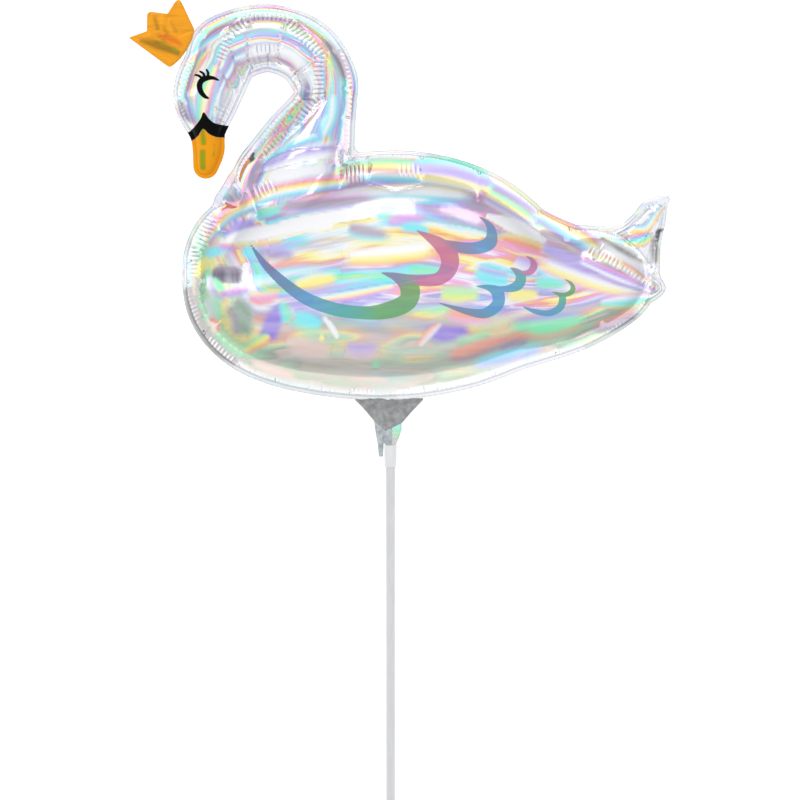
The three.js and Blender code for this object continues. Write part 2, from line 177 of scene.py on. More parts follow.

# Painted reflections: bands in the film's own holographic colours that the film throws back from
# the lamps and the room, painted into its colour, among them painted white lamp highlights and
# painted dark reflections of the room. For each: the colours across the band, from the left side
# of its line to the right, how soft its edge is in millimetres, and the line as a tapered stroke.
PAINTED_GLINTS = [
    ("lavender cyan mint yellow silver coral lavender cyan", 3, [
        (-347, 520, 12), (-339, 560, 18), (-325, 602, 13)
    ]),
    ("lavender cyan", 3, [(-360, 519, 3.7), (-369, 541, 6.5), (-377, 563, 3.7)]),
    ("dusk", 2.5, [(-369, 513, 2.8), (-382, 531, 6.5), (-390, 552, 2.8)]),
    ("lavender cyan silver", 3, [(-373, 633, 2.8), (-347, 654, 7.4), (-308, 676, 3.7)]),
    ("mint yellow coral magenta", 2.5, [(-360, 602, 2.8), (-347, 626, 6.5), (-331, 644, 2.8)]),
    ("lavender magenta coral yellow mint", 3, [
        (-347, 685, 3.7), (-325, 698, 8.3), (-294, 715, 4.6)
    ]),
    ("lavender magenta coral yellow mint", 3, [
        (-256, 724, 2.8), (-214, 724, 5.6), (-173, 715, 2.8)
    ]),
    ("cyan lavender coral yellow", 3, [(-121, 552, 3.7), (-118, 593, 7.4), (-123, 635, 3.7)]),
    ("yellow coral lavender cyan", 3, [(-73, 522, 2.8), (-69, 578, 6.5), (-82, 633, 2.8)]),
    ("lavender cyan", 3, [(-97, 481, 3.7), (-92, 537, 7.4), (-101, 611, 3.7)]),
    ("cyan lavender coral", 3, [(-168, 463, 3.7), (-156, 519, 7.4), (-153, 563, 3.7)]),
    ("mauve magenta coral yellow silver cyan lavender", 3.5, [
        (-334, 300, 9.3), (-299, 339, 14.8), (-260, 361, 16.7), (-214, 381, 16.7),
        (-156, 392, 16.7), (-92, 400, 14.8)
    ]),
    ("magenta mauve mauve lavender", 5, [
        (-206, 356, 7.4), (-153, 356, 13), (-84, 361, 11.1), (-8, 370, 5.6)
    ]),
    ("mint cyan", 4, [(-247, 337, 5.6), (-223, 343, 9.3), (-195, 350, 4.6)]),
    ("lavender", 5, [(-305, 300, 7.4), (-275, 315, 13), (-244, 328, 5.6)]),
    ("white", 3, [(-305, 291, 7.4), (-251, 303, 13), (-182, 311, 9.3), (-112, 317, 7.4)]),
    ("white", 1.2, [(-192, 321, 8.3), (-112, 331, 12), (-31, 344, 13)]),
    ("yellow coral", 3, [(-312, 283, 3.7), (-260, 282, 5.6), (-201, 289, 3.7)]),
    ("cyan", 4, [(-340, 267, 5.6), (-323, 272, 10.2), (-299, 276, 5.6)]),
    ("magenta lavender", 4, [(-318, 280, 5.6), (-301, 280, 5.6), (-279, 274, 3.7)]),
    ("cyan", 4, [(-273, 272, 7.4), (-251, 269, 11.1), (-223, 261, 5.6)]),
    ("lavender mauve", 5, [(-245, 274, 7.4), (-212, 267, 11.1), (-171, 263, 5.6)]),
    ("yellow", 4, [(-360, 224, 5.6), (-347, 244, 9.3), (-331, 261, 7.4)]),
    ("mauve dusk dusk", 2, [(-310, 230, 16.7), (-281, 228, 14.8)]),
    ("white", 1, [(-263, 244, 7.4), (-264, 222, 7.4)]),
    ("lavender silver", 4, [(-331, 230, 5.6), (-327, 200, 7.4), (-305, 176, 5.6)]),
    ("mint", 3, [(-321, 220, 3.7), (-312, 207, 7.4), (-303, 200, 3.7)]),
    ("magenta lavender", 4, [(-314, 193, 3.7), (-288, 196, 7.4), (-256, 202, 3.7)]),
    ("cyan silver", 5, [(-253, 215, 7.4), (-223, 222, 11.1), (-182, 233, 7.4), (-105, 239, 5.6)]),
    ("cyan mint", 4, [(-125, 224, 3.7), (-106, 228, 9.3), (-88, 230, 5.6)]),
    ("silver yellow yellow coral", 4, [(-179, 206, 7.4), (-138, 215, 13), (-94, 222, 7.4)]),
    ("yellow magenta coral", 4, [(-260, 187, 5.6), (-236, 185, 11.1), (-197, 194, 5.6)]),
    ("cyan silver yellow magenta lavender", 2, [(-134, 181, 5.6), (-75, 189, 9.3), (-1, 204, 7.4)]),
    ("mint silver", 6, [(-329, 193, 11.1), (-323, 167, 13), (-318, 144, 9.3)]),
    ("coral blush", 4, [(-334, 154, 5.6), (-321, 135, 9.3), (-316, 128, 3.7)]),
    ("grey", 2, [
        (-373, 200, 9.3), (-364, 165, 11.1), (-347, 130, 11.1), (-321, 96, 11.1), (-290, 72, 7.4)
    ]),
    ("moss moss mauve", 7, [(-290, 178, 13), (-271, 152, 22.2), (-273, 115, 14.8)]),
    ("mauve coral", 6, [(-253, 152, 9.3), (-231, 150, 11.1), (-205, 156, 7.4)]),
    ("violet", 5, [(-192, 172, 9.3), (-212, 144, 16.7), (-227, 107, 13)]),
    ("mint cyan", 5, [(-201, 178, 5.6), (-190, 159, 9.3), (-192, 137, 5.6)]),
    ("violet cyan cyan mint", 6, [(-175, 152, 11.1), (-151, 146, 20.4), (-123, 137, 7.4)]),
    ("silver", 2, [(-119, 148, 3.7), (-105, 130, 5.6), (-97, 115, 3.7)]),
    ("yellow", 4, [(-131, 113, 5.6), (-118, 113, 6.5)]),
    ("mint yellow coral", 4, [(-271, 89, 7.4), (-238, 106, 11.1), (-219, 119, 3.7)]),
    ("beige blush beige", 7, [(-260, 70, 7.4), (-214, 54, 13), (-168, 41, 9.3)]),
    ("blush", 7, [(-192, 109, 7.4), (-153, 93, 16.7), (-106, 89, 11.1)]),
    ("lavender blush", 7, [(-84, 93, 9.3), (-53, 85, 14.8), (-19, 93, 7.4)]),
    ("mint", 6, [(-27, 70, 5.6), (-25, 56, 7.4)]),
    ("blush beige", 6, [(-84, 39, 5.6), (-42, 37, 7.4), (3, 33, 5.6)]),
    ("beige", 7, [(-168, 63, 11.1), (-112, 52, 16.7), (-56, 54, 11.1)]),
    ("mauve mint yellow coral silver cyan lavender mauve", 3, [
        (-32, 417, 27.8), (8, 416, 29.6), (53, 413, 29.6)
    ]),
    ("mint cyan lavender lavender yellow silver", 3, [
        (68, 424, 27.8), (114, 419, 29.6), (158, 406, 25.9)
    ]),
    ("yellow silver lavender mauve mint yellow lavender silver", 4, [
        (177, 389, 25.9), (221, 365, 27.8), (271, 333, 22.2)
    ]),
    ("lavender coral yellow silver cyan lavender mauve", 3, [
        (282, 337, 14.8), (329, 309, 22.2), (382, 272, 18.5)
    ]),
    ("yellow silver silver cyan", 4, [
        (-56, 376, 5.6), (18, 381, 11.1), (92, 378, 11.1), (156, 370, 7.4)
    ]),
    ("cyan mint cyan", 5, [(-27, 346, 13), (3, 337, 16.7), (36, 320, 9.3)]),
    ("mauve lavender cyan", 4, [(25, 356, 7.4), (62, 344, 11.1), (114, 322, 7.4)]),
    ("magenta lavender", 5, [(-8, 322, 5.6), (21, 328, 11.1), (69, 330, 5.6)]),
    ("mauve mauve cyan", 5, [(-79, 311, 9.3), (-49, 304, 13), (3, 296, 7.4)]),
    ("silver white yellow coral", 4, [(-90, 257, 13), (-10, 261, 18.5), (88, 272, 16.7)]),
    ("cyan", 4, [(18, 311, 5.6), (44, 313, 9.3), (73, 304, 5.6)]),
    ("white", 1.2, [(179, 335, 5.6), (227, 317, 13.9), (281, 293, 6.5)]),
    ("yellow coral magenta", 4, [(197, 296, 9.3), (240, 285, 14.8), (288, 270, 9.3)]),
    ("mauve lavender mauve", 6, [(273, 283, 11.1), (323, 261, 18.5), (377, 235, 11.1)]),
    ("lavender silver yellow magenta", 4, [
        (262, 256, 11.1), (325, 231, 16.7), (397, 207, 14.8), (484, 191, 7.4)
    ]),
    ("lavender silver", 5, [(225, 256, 7.4), (247, 244, 13), (273, 237, 7.4)]),
    ("lavender cyan cyan", 4, [(151, 237, 9.3), (184, 222, 14.8), (221, 220, 11.1)]),
    ("cyan mint", 4, [(262, 213, 5.6), (288, 215, 11.1), (325, 211, 5.6)]),
    ("mint yellow", 6, [(88, 193, 7.4), (121, 191, 14.8), (166, 193, 7.4)]),
    ("yellow", 5, [(212, 191, 7.4), (240, 191, 11.1), (273, 193, 5.6)]),
    ("coral coral magenta", 5, [(99, 157, 7.4), (138, 152, 13), (188, 148, 5.6)]),
    ("violet", 6, [(62, 124, 7.4), (99, 120, 14.8), (147, 128, 7.4)]),
    ("coral silver", 3, [(55, 104, 5.6), (73, 124, 7.4), (88, 137, 3.7)]),
    ("lavender mint mint coral", 7, [(214, 135, 11.1), (284, 133, 20.4), (366, 152, 11.1)]),
    ("mint moss", 7, [(119, 102, 9.3), (153, 100, 16.7), (188, 119, 9.3)]),
    ("coral coral mauve", 6, [(103, 78, 7.4), (140, 87, 14.8), (199, 107, 11.1), (269, 119, 7.4)]),
    ("mauve", 6, [(199, 89, 9.3), (221, 96, 13), (255, 104, 7.4)]),
    ("magenta silver cyan mint coral", 3, [(395, 178, 9.3), (434, 181, 14.8), (475, 187, 7.4)]),
    ("coral mauve dusk", 4, [(369, 130, 7.4), (410, 141, 13), (462, 165, 7.4)]),
    ("cyan lavender", 5, [(147, 63, 7.4), (212, 80, 11.1), (286, 100, 7.4)]),
    ("silver", 3, [(18, 11, 7.4), (119, 24, 11.1), (240, 57, 13), (351, 94, 9.3)]),
    ("silver white silver", 5, [(373, 285, 9.3), (429, 270, 16.7), (481, 237, 13)]),
    ("silver coral yellow white grey magenta lavender white lavender mauve", 2, [
        (369, 256, 20.4), (421, 235, 24.1), (481, 207, 11.1)
    ]),
    ("silver lavender silver white", 6, [(-238, 419, 14.8), (-168, 446, 18.5), (-84, 461, 14.8)]),
    ("silver", 5, [(-227, 400, 9.3), (-168, 415, 11.1), (-103, 426, 9.3)]),
    ("white cyan lavender", 3, [(-231, 439, 5.6), (-186, 465, 9.3), (-140, 480, 7.4)]),
    ("lavender cyan white cyan lavender", 4, [
        (-127, 478, 7.4), (-110, 519, 16.7), (-105, 567, 9.3)
    ]),
    ("mauve grey", 5, [(-127, 670, 5.6), (-95, 630, 11.1), (-81, 585, 9.3)]),
    ("silver", 5, [(-294, 578, 7.4), (-301, 544, 11.1), (-314, 511, 9.3)]),
    ("silver white", 5, [
        (-279, 626, 7.4), (-238, 644, 11.1), (-186, 637, 9.3), (-164, 604, 9.3), (-168, 563, 7.4)
    ]),
    ("yellow coral lavender cyan mint yellow coral", 1, [
        (427, 293, 2.8), (444, 295, 11.1), (464, 298, 14.8), (482, 307, 2.8)
    ]),
    ("lavender cyan silver yellow coral", 1, [
        (419, 305, 1.9), (447, 316, 5.6), (473, 319, 8.3), (490, 341, 7.4), (508, 363, 1.9)
    ]),
    ("dark", 0.8, [(506, 317, 1.1), (496, 311, 4.8), (494, 304, 4.6), (494, 293, 1.1)]),
    ("grey", 3, [(488, 300, 3.7), (490, 278, 7.4), (490, 256, 3.7)]),
    ("grey", 3, [(390, 300, 1.9), (425, 276, 4.6), (473, 252, 2.8)]),
]
# The rainbow of the film where no band is placed, and the deeper one of the belly: painted
# reflections of the lamps in the film's own holographic colours.
RAINBOW = [
    (0.0, "magenta"), (0.06, "coral"), (0.12, "yellow"), (0.2, "silver"), (0.28, "cyan"),
    (0.37, "lavender"), (0.47, "mauve"), (0.54, "magenta"), (0.6, "coral"), (0.66, "yellow"),
    (0.73, "mint"), (0.81, "cyan"), (0.9, "lavender"), (0.96, "silver"), (1.0, "magenta"),
]
BELLY_RAINBOW = [
    (0.0, "moss"), (0.14, "mint"), (0.26, "yellow"), (0.36, "coral"), (0.48, "mauve"),
    (0.6, "violet"), (0.72, "cyan"), (0.82, "beige"), (0.92, "blush"), (1.0, "moss"),
]

# Folds pressed into the film: from the rim to where each runs out, in the same thousandths.
NECK_FOLDS = [
    (-255, 602, -266, 719), (-216, 606, -186, 715), (-188, 587, -118, 643), (-177, 559, -118, 554),
    (-188, 531, -162, 504), (-269, 587, -306, 678), (-281, 567, -327, 626), (-84, 656, -106, 641),
    (-62, 578, -88, 572), (-66, 522, -88, 520), (-397, 544, -375, 548), (-403, 589, -382, 585),
    (-358, 689, -342, 667),
]
BODY_FOLDS = [
    (-90, 454, -94, 385), (-44, 463, -40, 389), (58, 465, 59, 389), (166, 433, 161, 361),
    (279, 357, 269, 319), (336, 324, 323, 291), (390, 291, 373, 256), (-266, 378, -245, 337),
    (-334, 337, -303, 294), (-383, 219, -340, 219), (-353, 119, -294, 159), (-382, 256, -353, 256),
    (-284, 57, -286, 85), (-221, 24, -210, 54), (-151, 15, -142, 33), (-71, 0, -75, 22),
    (92, 11, 88, 33), (203, 35, 192, 59), (314, 76, 301, 100), (406, 119, 388, 144),
]
# Edges of the flat panels that the folds part, with no end that runs out.
PANEL_EDGES = [
    (-327, 626, -306, 678), (-306, 678, -266, 719), (-266, 719, -186, 715), (-186, 715, -118, 643),
    (-118, 643, -119, 554), (-119, 554, -162, 504), (-162, 504, -234, 437), (-36, 396, 10, 381),
    (10, 381, 56, 393), (-238, 444, -168, 463), (-168, 463, -82, 470), (-245, 415, -168, 437),
    (-168, 437, -86, 448),
]
# Bands of fine ribs: a line across the ribs' ends, and how far they run to the left of it.
RIB_BANDS = [
    (-327, 626, -308, 676, -28), (-305, 680, -266, 715, -24), (-266, 719, -186, 715, -20),
    (-182, 711, -118, 644, -26), (-118, 637, -119, 556, -26), (-127, 550, -164, 504, -22),
    (-169, 498, -231, 444, -17), (-253, 656, -199, 656, -19), (-82, 644, -64, 570, -13),
    (-64, 563, -73, 478, -13), (-371, 630, -397, 563, 13), (-90, 437, -45, 441, -50),
    (12, 437, 55, 437, -30), (-349, 348, -375, 289, 44), (-377, 281, -379, 226, 30),
    (-256, 393, -216, 407, -30), (366, 289, 429, 256, -22), (432, 250, 492, 213, -17),
    (-75, 7, -27, 6, 17), (36, 9, 62, 13, 15), (-342, 107, -294, 67, 17),
]
TAIL_FOLDS = [
    (482, 309, 431, 285), (482, 309, 508, 363), (482, 309, 500, 262), (482, 309, 416, 306),
    (490, 250, 452, 232), (470, 268, 436, 262),
]

# The crown's corners with how far each is rounded, its folds, and patches of painted light on
# it: painted shade in its folds, a painted red glow and painted green reflections.
CROWN_OUTLINE = [
    (-485, 671, 3), (-451, 683, 2), (-451, 720, 10), (-413, 715, 2), (-392, 748, 16),
    (-363, 686, 4), (-367, 667, 6), (-378, 647, 6), (-389, 632, 6), (-402, 620, 4), (-410, 616, 4),
]
CROWN_FOLDS = [
    (-451, 683, -421, 670), (-414, 715, -421, 680), (-436, 709, -429, 685), (-407, 706, -388, 670),
    (-431, 663, -477, 670), (-431, 670, -388, 644), (-445, 648, -397, 628), (-363, 686, -395, 672),
]
CROWN_PAINTED_LIGHT = [
    ("gold_shade", 0.8, [(-461, 665, 3), (-428, 656, 8), (-394, 642, 5)]),
    ("gold_shade", 0.75, [(-437, 707, 1.5), (-431, 688, 3)]),
    ("gold_shade", 0.4, [(-408, 700, 2), (-397, 682, 3)]),
    ("gold_shade", 0.5, [(-421, 690, 1), (-413, 678, 3), (-420, 668, 1)]),
    ("gold_glow", 0.7, [(-427, 674, 3), (-406, 668, 6), (-388, 658, 3)]),
    ("painted_green_glint", 0.8, [(-401, 649, 3), (-397, 646, 3)]),
    ("painted_green_glint", 0.5, [(-430, 664, 1.5), (-417, 658, 2.5)]),
]

CROWN_SPACING = 0.8 * MM
CROWN_FOLD_WIDTH = 4 * MM
CROWN_SLOPE = 12 * MM  # from its edge to where it is thickest
PATCH_SOFTNESS = 2.2 * MM

# Folded film at the filling end, in millimetres in the swan's frame before the bend.
SKIRT_OUTLINE = [
    (-23.3, 1.2), (-23.3, 0), (-18.6, -4.6), (-14.6, -9.2), (-10.6, -13.9), (-3.4, -20.4),
    (7.6, -15.1), (14.4, -7.2), (21.4, 0), (21.4, 1.2),
]
STRIP_OUTLINE = [
    (-10.9, -13.2), (-9.9, -21), (-8.4, -29.6), (-7.6, -37.6), (-4.9, -37.6), (-4.5, -29),
    (-3, -13.2),
]
PANEL_OUTLINE = [
    (-5.4, -12), (-4.6, -21), (-4.3, -28.9), (-2.9, -29.7), (-2.9, -33.5), (0.7, -33.5),
    (0.9, -28.9), (1, -12),
]
FOLD_OUTLINE = [
    (0.2, -12), (0.4, -33.5), (2.8, -33.5), (3, -29.7), (4, -28.9), (5.7, -25), (7.4, -19.5),
    (7.4, -12),
]
SHEET_SPACING = 0.7 * MM  # distance between the points of these films
SHEET_CRINKLES = (4 * MM, 1.5 * MM)  # widths of their broad and their fine crinkles
SHEET_RAINBOW = (14 * MM, 28 * MM)  # where the rainbow fold has its first and its last colour


def linear(code):
    """The linear red, green, blue and alpha of an sRGB hex colour."""
    levels = [int(code[k : k + 2], 16) / 255 for k in (1, 3, 5)]
    return (*(v / 12.92 if v <= 0.04045 else ((v + 0.055) / 1.055) ** 2.4 for v in levels), 1.0)


def length(name, description, millimetres, most=50):
    """A length that a user can change, given in millimetres."""
    return bpy.props.FloatProperty(
        name=name, description=description, default=millimetres * MM, min=0, max=most * MM,
        precision=5, subtype="DISTANCE", unit="LENGTH",
    )


def hue(name, description, code):
    """A colour that a user can change, given as an sRGB hex value."""
    return bpy.props.FloatVectorProperty(
        name=name, description=description, default=linear(code), size=4, min=0, max=1,
        subtype="COLOR",
    )


class SwanSizes(bpy.types.PropertyGroup):
    """Sizes of the balloon and of what it hangs on"""

    seam_margin: length("Seam margin", "Width of the flat welded strip", 2.6)
    film_thickness: length("Film thickness", "Both films together at the weld", 0.4)
    seam_wave: length("Seam wave", "How far the welded strip waves up and down", 0.35)
    mesh_spacing: length("Mesh spacing", "Distance between points of the film", 1.6)
    rim_spacing: length("Rim spacing", "Distance between points along the seam", 0.8)
    rib_pitch: length("Rib pitch", "Distance between the fine ribs that start at the seam", 2.9)
    rib_depth: length("Rib depth", "How deep the fine ribs are pressed in", 0.5)
    fold_depth: length("Fold depth", "How deep the long folds are pressed in", 1.7)
    fold_width: length("Fold width", "Half width of a long fold at the seam", 8.0)
    crown_rise: length("Crown rise", "Half thickness of the crown at its middle", 3.2)
    skirt_thickness: length("Skirt thickness", "Folded film of the skirt", 1.1)
    stick_diameter: length("Stick diameter", "Outer diameter of the stick", 6.0)
    stick_wall: length("Stick wall", "Wall of the hollow stick", 0.8)
    stick_length: length("Stick length", "Length of the stick", 300.0, 600)
    collar_bore: length("Collar bore", "Inner diameter of the collar", 6.6)
    collar_wall: length("Collar wall", "Wall of the collar", 0.8)
    collar_length: length("Collar length", "Length of the collar", 14.5)
    edge_round: length("Edge rounding", "Radius on the rims of the collar and the stick", 0.2)


class SwanColours(bpy.types.PropertyGroup):
    """Colours of the film, its print and the holder"""

    silver: hue("Silver", "Film that shows no rainbow", "#f7f8fb")
    # Painted reflections of the lamps, in the film's own holographic rainbow.
    cyan: hue("Cyan", "Rainbow of the film", "#86ecf6")
    lavender: hue("Lavender", "Rainbow of the film", "#b9aaf2")
    magenta: hue("Magenta", "Rainbow of the film", "#f4a9e6")
    coral: hue("Coral", "Rainbow of the film", "#f6a890")
    yellow: hue("Yellow", "Rainbow of the film", "#fff48c")
    mint: hue("Mint", "Rainbow of the film", "#94efbb")
    # Painted shade, where the film turns away from the lamps: grey, and mauve a little less.
    grey: hue("Grey", "Film turned away from the rainbow", "#a8a29e")
    mauve: hue("Mauve", "Film turned a little away from the rainbow", "#b5a6b9")
    # Painted reflections in the belly's deeper and paler rainbow.
    moss: hue("Moss", "Muted green of the belly", "#93ad99")
    violet: hue("Violet", "Deep rainbow of the belly", "#a08ce2")
    blush: hue("Blush", "Pale rainbow of the belly", "#ead0c8")
    # A painted lamp highlight, and a painted reflection of a darker part of the room.
    white: hue("White", "Film that mirrors a lamp", "#ffffff")
    dusk: hue("Dusk", "Film that mirrors a darker part of the room", "#7d7688")
    beige: hue("Beige", "Film along the belly", "#cfcabb")
    bill: hue("Bill", "Orange ink of the bill", "#faa41a")
    # A painted green reflection of the film under the orange ink.
    painted_green_glint: hue("Bill streak", "Green film seen through the orange ink", "#86a01c")
    ink_slate: hue("Slate ink", "Lacquer of the feathers", "#8490b6")
    ink_sky: hue("Sky ink", "Lacquer of the feathers", "#72b2d6")
    ink_teal: hue("Teal ink", "Lacquer of the feathers", "#6ec1b8")
    ink_green: hue("Green ink", "Lacquer of the feathers", "#86be80")
    ink_mauve: hue("Mauve ink", "Lacquer of the feathers", "#a596b4")
    ink_rose: hue("Rose ink", "Lacquer of the feathers", "#d88fb0")
    ink_blue: hue("Blue ink", "Lacquer of the feathers", "#88a4c6")
    black: hue("Black", "Ink of the eye and the band", "#050506")
    gold: hue("Gold", "Film of the crown", "#fba619")
    # Painted shade in the crown's folds, and a painted red glow.
    gold_shade: hue("Gold shade", "Folds of the crown", "#8e6d12")
    gold_glow: hue("Gold glow", "Red glow in the crown", "#ea6a1a")
    # A painted reflection of the dark of the room.
    dark: hue("Dark", "Film that mirrors the dark of the room", "#4c5350")
    # Painted shade in the valleys of the fine ribs.
    rib_shade: hue("Rib shade", "Valleys of the fine ribs", "#8791b4")
    skirt: hue("Skirt", "Matt film of the skirt", "#a0a0a0")
    panel: hue("Panel", "Matt film of the neck panel", "#bdc3c5")
    collar: hue("Collar", "Plastic of the collar", "#f6f6f6")
    stick: hue("Stick", "Plastic of the stick", "#dedede")
    floor: hue("Floor", "Studio floor", "#fbfbfb")


def add(tree, kind, inputs=None, stops=None, **settings):
    """Adds a node, sets it up, and links or fills its inputs."""
    made = tree.nodes.new(kind)
    for name, value in settings.items():
        setattr(made, name, value)
    for place, value in (inputs or {}).items():
        socket = made.inputs[place]
        if isinstance(value, bpy.types.Node):
            value = next(output for output in value.outputs if output.enabled)
        if isinstance(value, bpy.types.NodeSocket):
            tree.links.new(value, socket)
        else:
            socket.default_value = value
    if stops:
        elements = made.color_ramp.elements
        while len(elements) < len(stops):
            elements.new(1.0)
        for element, (position, colour) in zip(elements, stops):
            element.position = position
            element.color = colour
    return made


def linked(name, data):
    """Puts a new object with the given data into the scene."""
    made = bpy.data.objects.new(name, data)
    bpy.context.collection.objects.link(made)
    return made


# The swan's form


def swept(line, steps=14):
    """Discs along a smooth curve through the points of a line: X, Y and radius."""
    p = np.array(line, float) * SHARE
    p = np.vstack([2 * p[0] - p[1], p, 2 * p[-1] - p[-2]])
    t = np.linspace(0, 1, steps, endpoint=False)[:, None]
    spans = [
        0.5 * (
            2 * b + (c - a) * t + (2 * a - 5 * b + 4 * c - d) * t**2
            + (3 * b - a - 3 * c + d) * t**3
        )
        for a, b, c, d in zip(p, p[1:], p[2:], p[3:])
    ]
    return np.vstack([*spans, p[-2:-1]])


def ways_along(centres):
    """The direction of a row of points at each of them."""
    steps = np.gradient(centres, axis=0)
    return steps / np.linalg.norm(steps, axis=1)[:, None]


def gap(discs, points):
    """Distance of each point outside the discs, negative inside them."""
    parts = np.array_split(points, len(points) // 20000 + 1)
    x, y, r = discs.T
    return np.concatenate([(np.hypot(p[:, :1] - x, p[:, 1:] - y) - r).min(axis=1) for p in parts])


def blended(a, b, blend):
    """The lower of two values, or the higher with a negative blend, with a rounded change."""
    h = np.clip(0.5 + 0.5 * (b - a) / blend, 0, 1)
    return b + (a - b) * h - blend * h * (1 - h)


CHAMBERS = [
    (swept(BODY_LINE), BODY_FULLNESS),
    (swept(NECK_LINE), NECK_FULLNESS),
    (swept(TAIL_LINE), TAIL_FULLNESS),
]
WEBS = [swept(line) for line in (CHEST_WEB_LINE, TAIL_WEB_LINE, TAIL_TIP_WEB_LINE)]


def outline(points):
    """Distance of each point outside the whole outline of the film."""
    whole = None
    for discs in [discs for discs, _ in CHAMBERS] + WEBS:
        distance = gap(discs, points)
        whole = distance if whole is None else blended(whole, distance, OUTLINE_BLEND)
    return whole


def chamber_height(discs, fullness, margin, points):
    """Half thickness of one chamber: a round of air over each disc, short of the welded strip."""
    highest = np.zeros(len(points))
    for x, y, r in discs[discs[:, 2] > margin]:
        radius = r - margin
        inside = 1 - ((points[:, 0] - x) ** 2 + (points[:, 1] - y) ** 2) / radius**2
        height = fullness * radius * np.clip(inside, 0, None) ** ROUND_POWER
        np.maximum(highest, height, out=highest)
    return highest


def swell(points, margin, thickness):
    """Half thickness of the whole balloon."""
    heights = np.sort([chamber_height(*chamber, margin, points) for chamber in CHAMBERS], axis=0)
    second, first = heights[-2], heights[-1]
    blend = -np.clip(np.minimum(CHAMBER_BLEND, second), FLAT_SIDE, None)
    return np.maximum(blended(first, second, blend), thickness / 2)


def flow(points, margin):
    """Each point's place along its chamber, across it from -1 to 1, and the chamber's number."""
    heights = [chamber_height(*chamber, margin, points) for chamber in CHAMBERS]
    chosen = np.argmax(heights, axis=0)
    place = np.zeros((len(points), 3))
    for k, (discs, _) in enumerate(CHAMBERS):
        here = chosen == k
        centres, radii = discs[:, :2], discs[:, 2]
        run = np.concatenate([[0], np.cumsum(np.linalg.norm(np.diff(centres, axis=0), axis=1))])
        shift = points[here][:, None] - centres
        nearest = np.argmin(np.linalg.norm(shift, axis=2) - radii, axis=1)
        offset = shift[np.arange(len(nearest)), nearest]
        way = ways_along(centres)[nearest]
        place[here, 0] = run[nearest] + (offset * way).sum(axis=1)
        place[here, 1] = (offset[:, 1] * way[:, 0] - offset[:, 0] * way[:, 1]) / radii[nearest]
        place[here, 2] = k
    return place


def moved_to(points, depth):
    """Moves points straight across the outline until they are a given distance inside it."""
    points = points.copy()
    for _ in range(4):
        distance = outline(points)
        across = [
            (outline(points + shift) - distance) / PROBE for shift in ((PROBE, 0), (0, PROBE))
        ]
        slope = np.maximum(across[0] ** 2 + across[1] ** 2, 0.25)
        points -= np.transpose(across * (distance + depth) / slope)
    return points


def rim_loop(spacing):
    """Points along the whole outline, in order, a given distance apart."""
    here = moved_to(np.array([[0.0, 0.0]]), 0)
    loop = [here]
    while len(loop) < 10 or np.linalg.norm(here - loop[0]) > 0.8 * spacing:
        distance = outline(here)[0]
        across = [outline(here + shift)[0] - distance for shift in ((PROBE, 0), (0, PROBE))]
        along = np.array([-across[1], across[0]]) / np.hypot(*across)
        here = moved_to(here + along * spacing, 0)
        loop.append(here)
        if len(loop) > 10 * SWAN_LENGTH / spacing:
            raise RuntimeError("the outline doesn't close")
    return np.vstack(loop)


def lattice(low, high, spacing):
    """Points of equal triangles that fill a box."""
    rows = np.arange(low[1], high[1], spacing * math.sqrt(3) / 2)
    columns = np.arange(low[0], high[0], spacing)
    shift = (np.arange(len(rows)) % 2)[:, None] * spacing / 2
    return np.column_stack([(columns + shift).ravel(), np.repeat(rows, len(columns))])


def ring_edges(count):
    """Edges that join points to a closed ring."""
    return [(k, (k + 1) % count) for k in range(count)]


def line_frame(line):
    """A straight line's start, the way to its end, the same way turned left, and its length."""
    start, end = np.array(line, float).reshape(2, 2) * SHARE
    way = end - start
    return start, way, np.array([-way[1], way[0]]), np.linalg.norm(way)


def along_line(line, points):
    """How far along a line the points lie, from 0 to 1, how far to its left, and its length."""
    start, way, across, span = line_frame(line)
    return (points - start) @ way / span**2, (points - start) @ across / span, span


def fold_line(fold, spacing):
    """Points along a fold."""
    start, way, _, span = line_frame(fold)
    return start + np.linspace(0, 1, max(2, round(span / spacing)))[:, None] * way


def triangulated(points, edges, keep):
    """Points and triangles of a plan, with the given edges kept as edges of triangles."""
    plan = delaunay_2d_cdt([Vector(p) for p in points], edges, [], 0, 1e-7)
    flat = np.array([tuple(v) for v in plan[0]])
    faces = np.array(plan[2])
    middle = flat[faces].mean(axis=1)
    return flat, faces[keep(middle)]


def open_edges(faces):
    """The edges that only one triangle has, in that triangle's direction."""
    edges = {}
    for face in faces.tolist():
        for p, q in zip(face, face[1:] + face[:1]):
            if edges.pop((q, p), None) is None:
                edges[p, q] = True
    return np.array(list(edges))


def two_faced(name, flat, faces, upper, lower, values=()):
    """A closed object in the swan's frame from a flat plan and the heights of its two faces.

    Values are named numbers or vectors of the plan's points, kept as attributes of both faces.
    """
    used, faces = np.unique(faces, return_inverse=True)
    faces, flat, count = faces.reshape(-1, 3), flat[used], len(used)
    first, second, third = (flat[faces[:, k]] for k in range(3))
    turned = np.cross(second - first, third - first) < 0
    faces[turned] = faces[turned][:, ::-1]
    top, bottom = np.column_stack([flat, upper[used]]), np.column_stack([flat, lower[used]])
    rim = open_edges(faces)
    p, q = rim[:, 0], rim[:, 1]
    walls = [np.column_stack([p, p + count, q]), np.column_stack([q, p + count, q + count])]
    mesh = bpy.data.meshes.new(name)
    places = np.vstack([top, bottom]) + np.array(SWAN_ORIGIN)
    triangles = np.vstack([faces, faces[:, ::-1] + count, *walls])
    mesh.from_pydata(places.tolist(), [], triangles.tolist())
    kinds = {1: ("FLOAT", "value"), 3: ("FLOAT_VECTOR", "vector"), 4: ("FLOAT_COLOR", "color")}
    for label, numbers in values:
        kind, field = kinds[numbers.size // len(numbers)]
        attribute = mesh.attributes.new(label, kind, "POINT")
        attribute.data.foreach_set(field, np.concatenate([numbers[used], numbers[used]]).ravel())
    mesh.validate()
    mesh.shade_smooth()
    return linked(name, mesh)


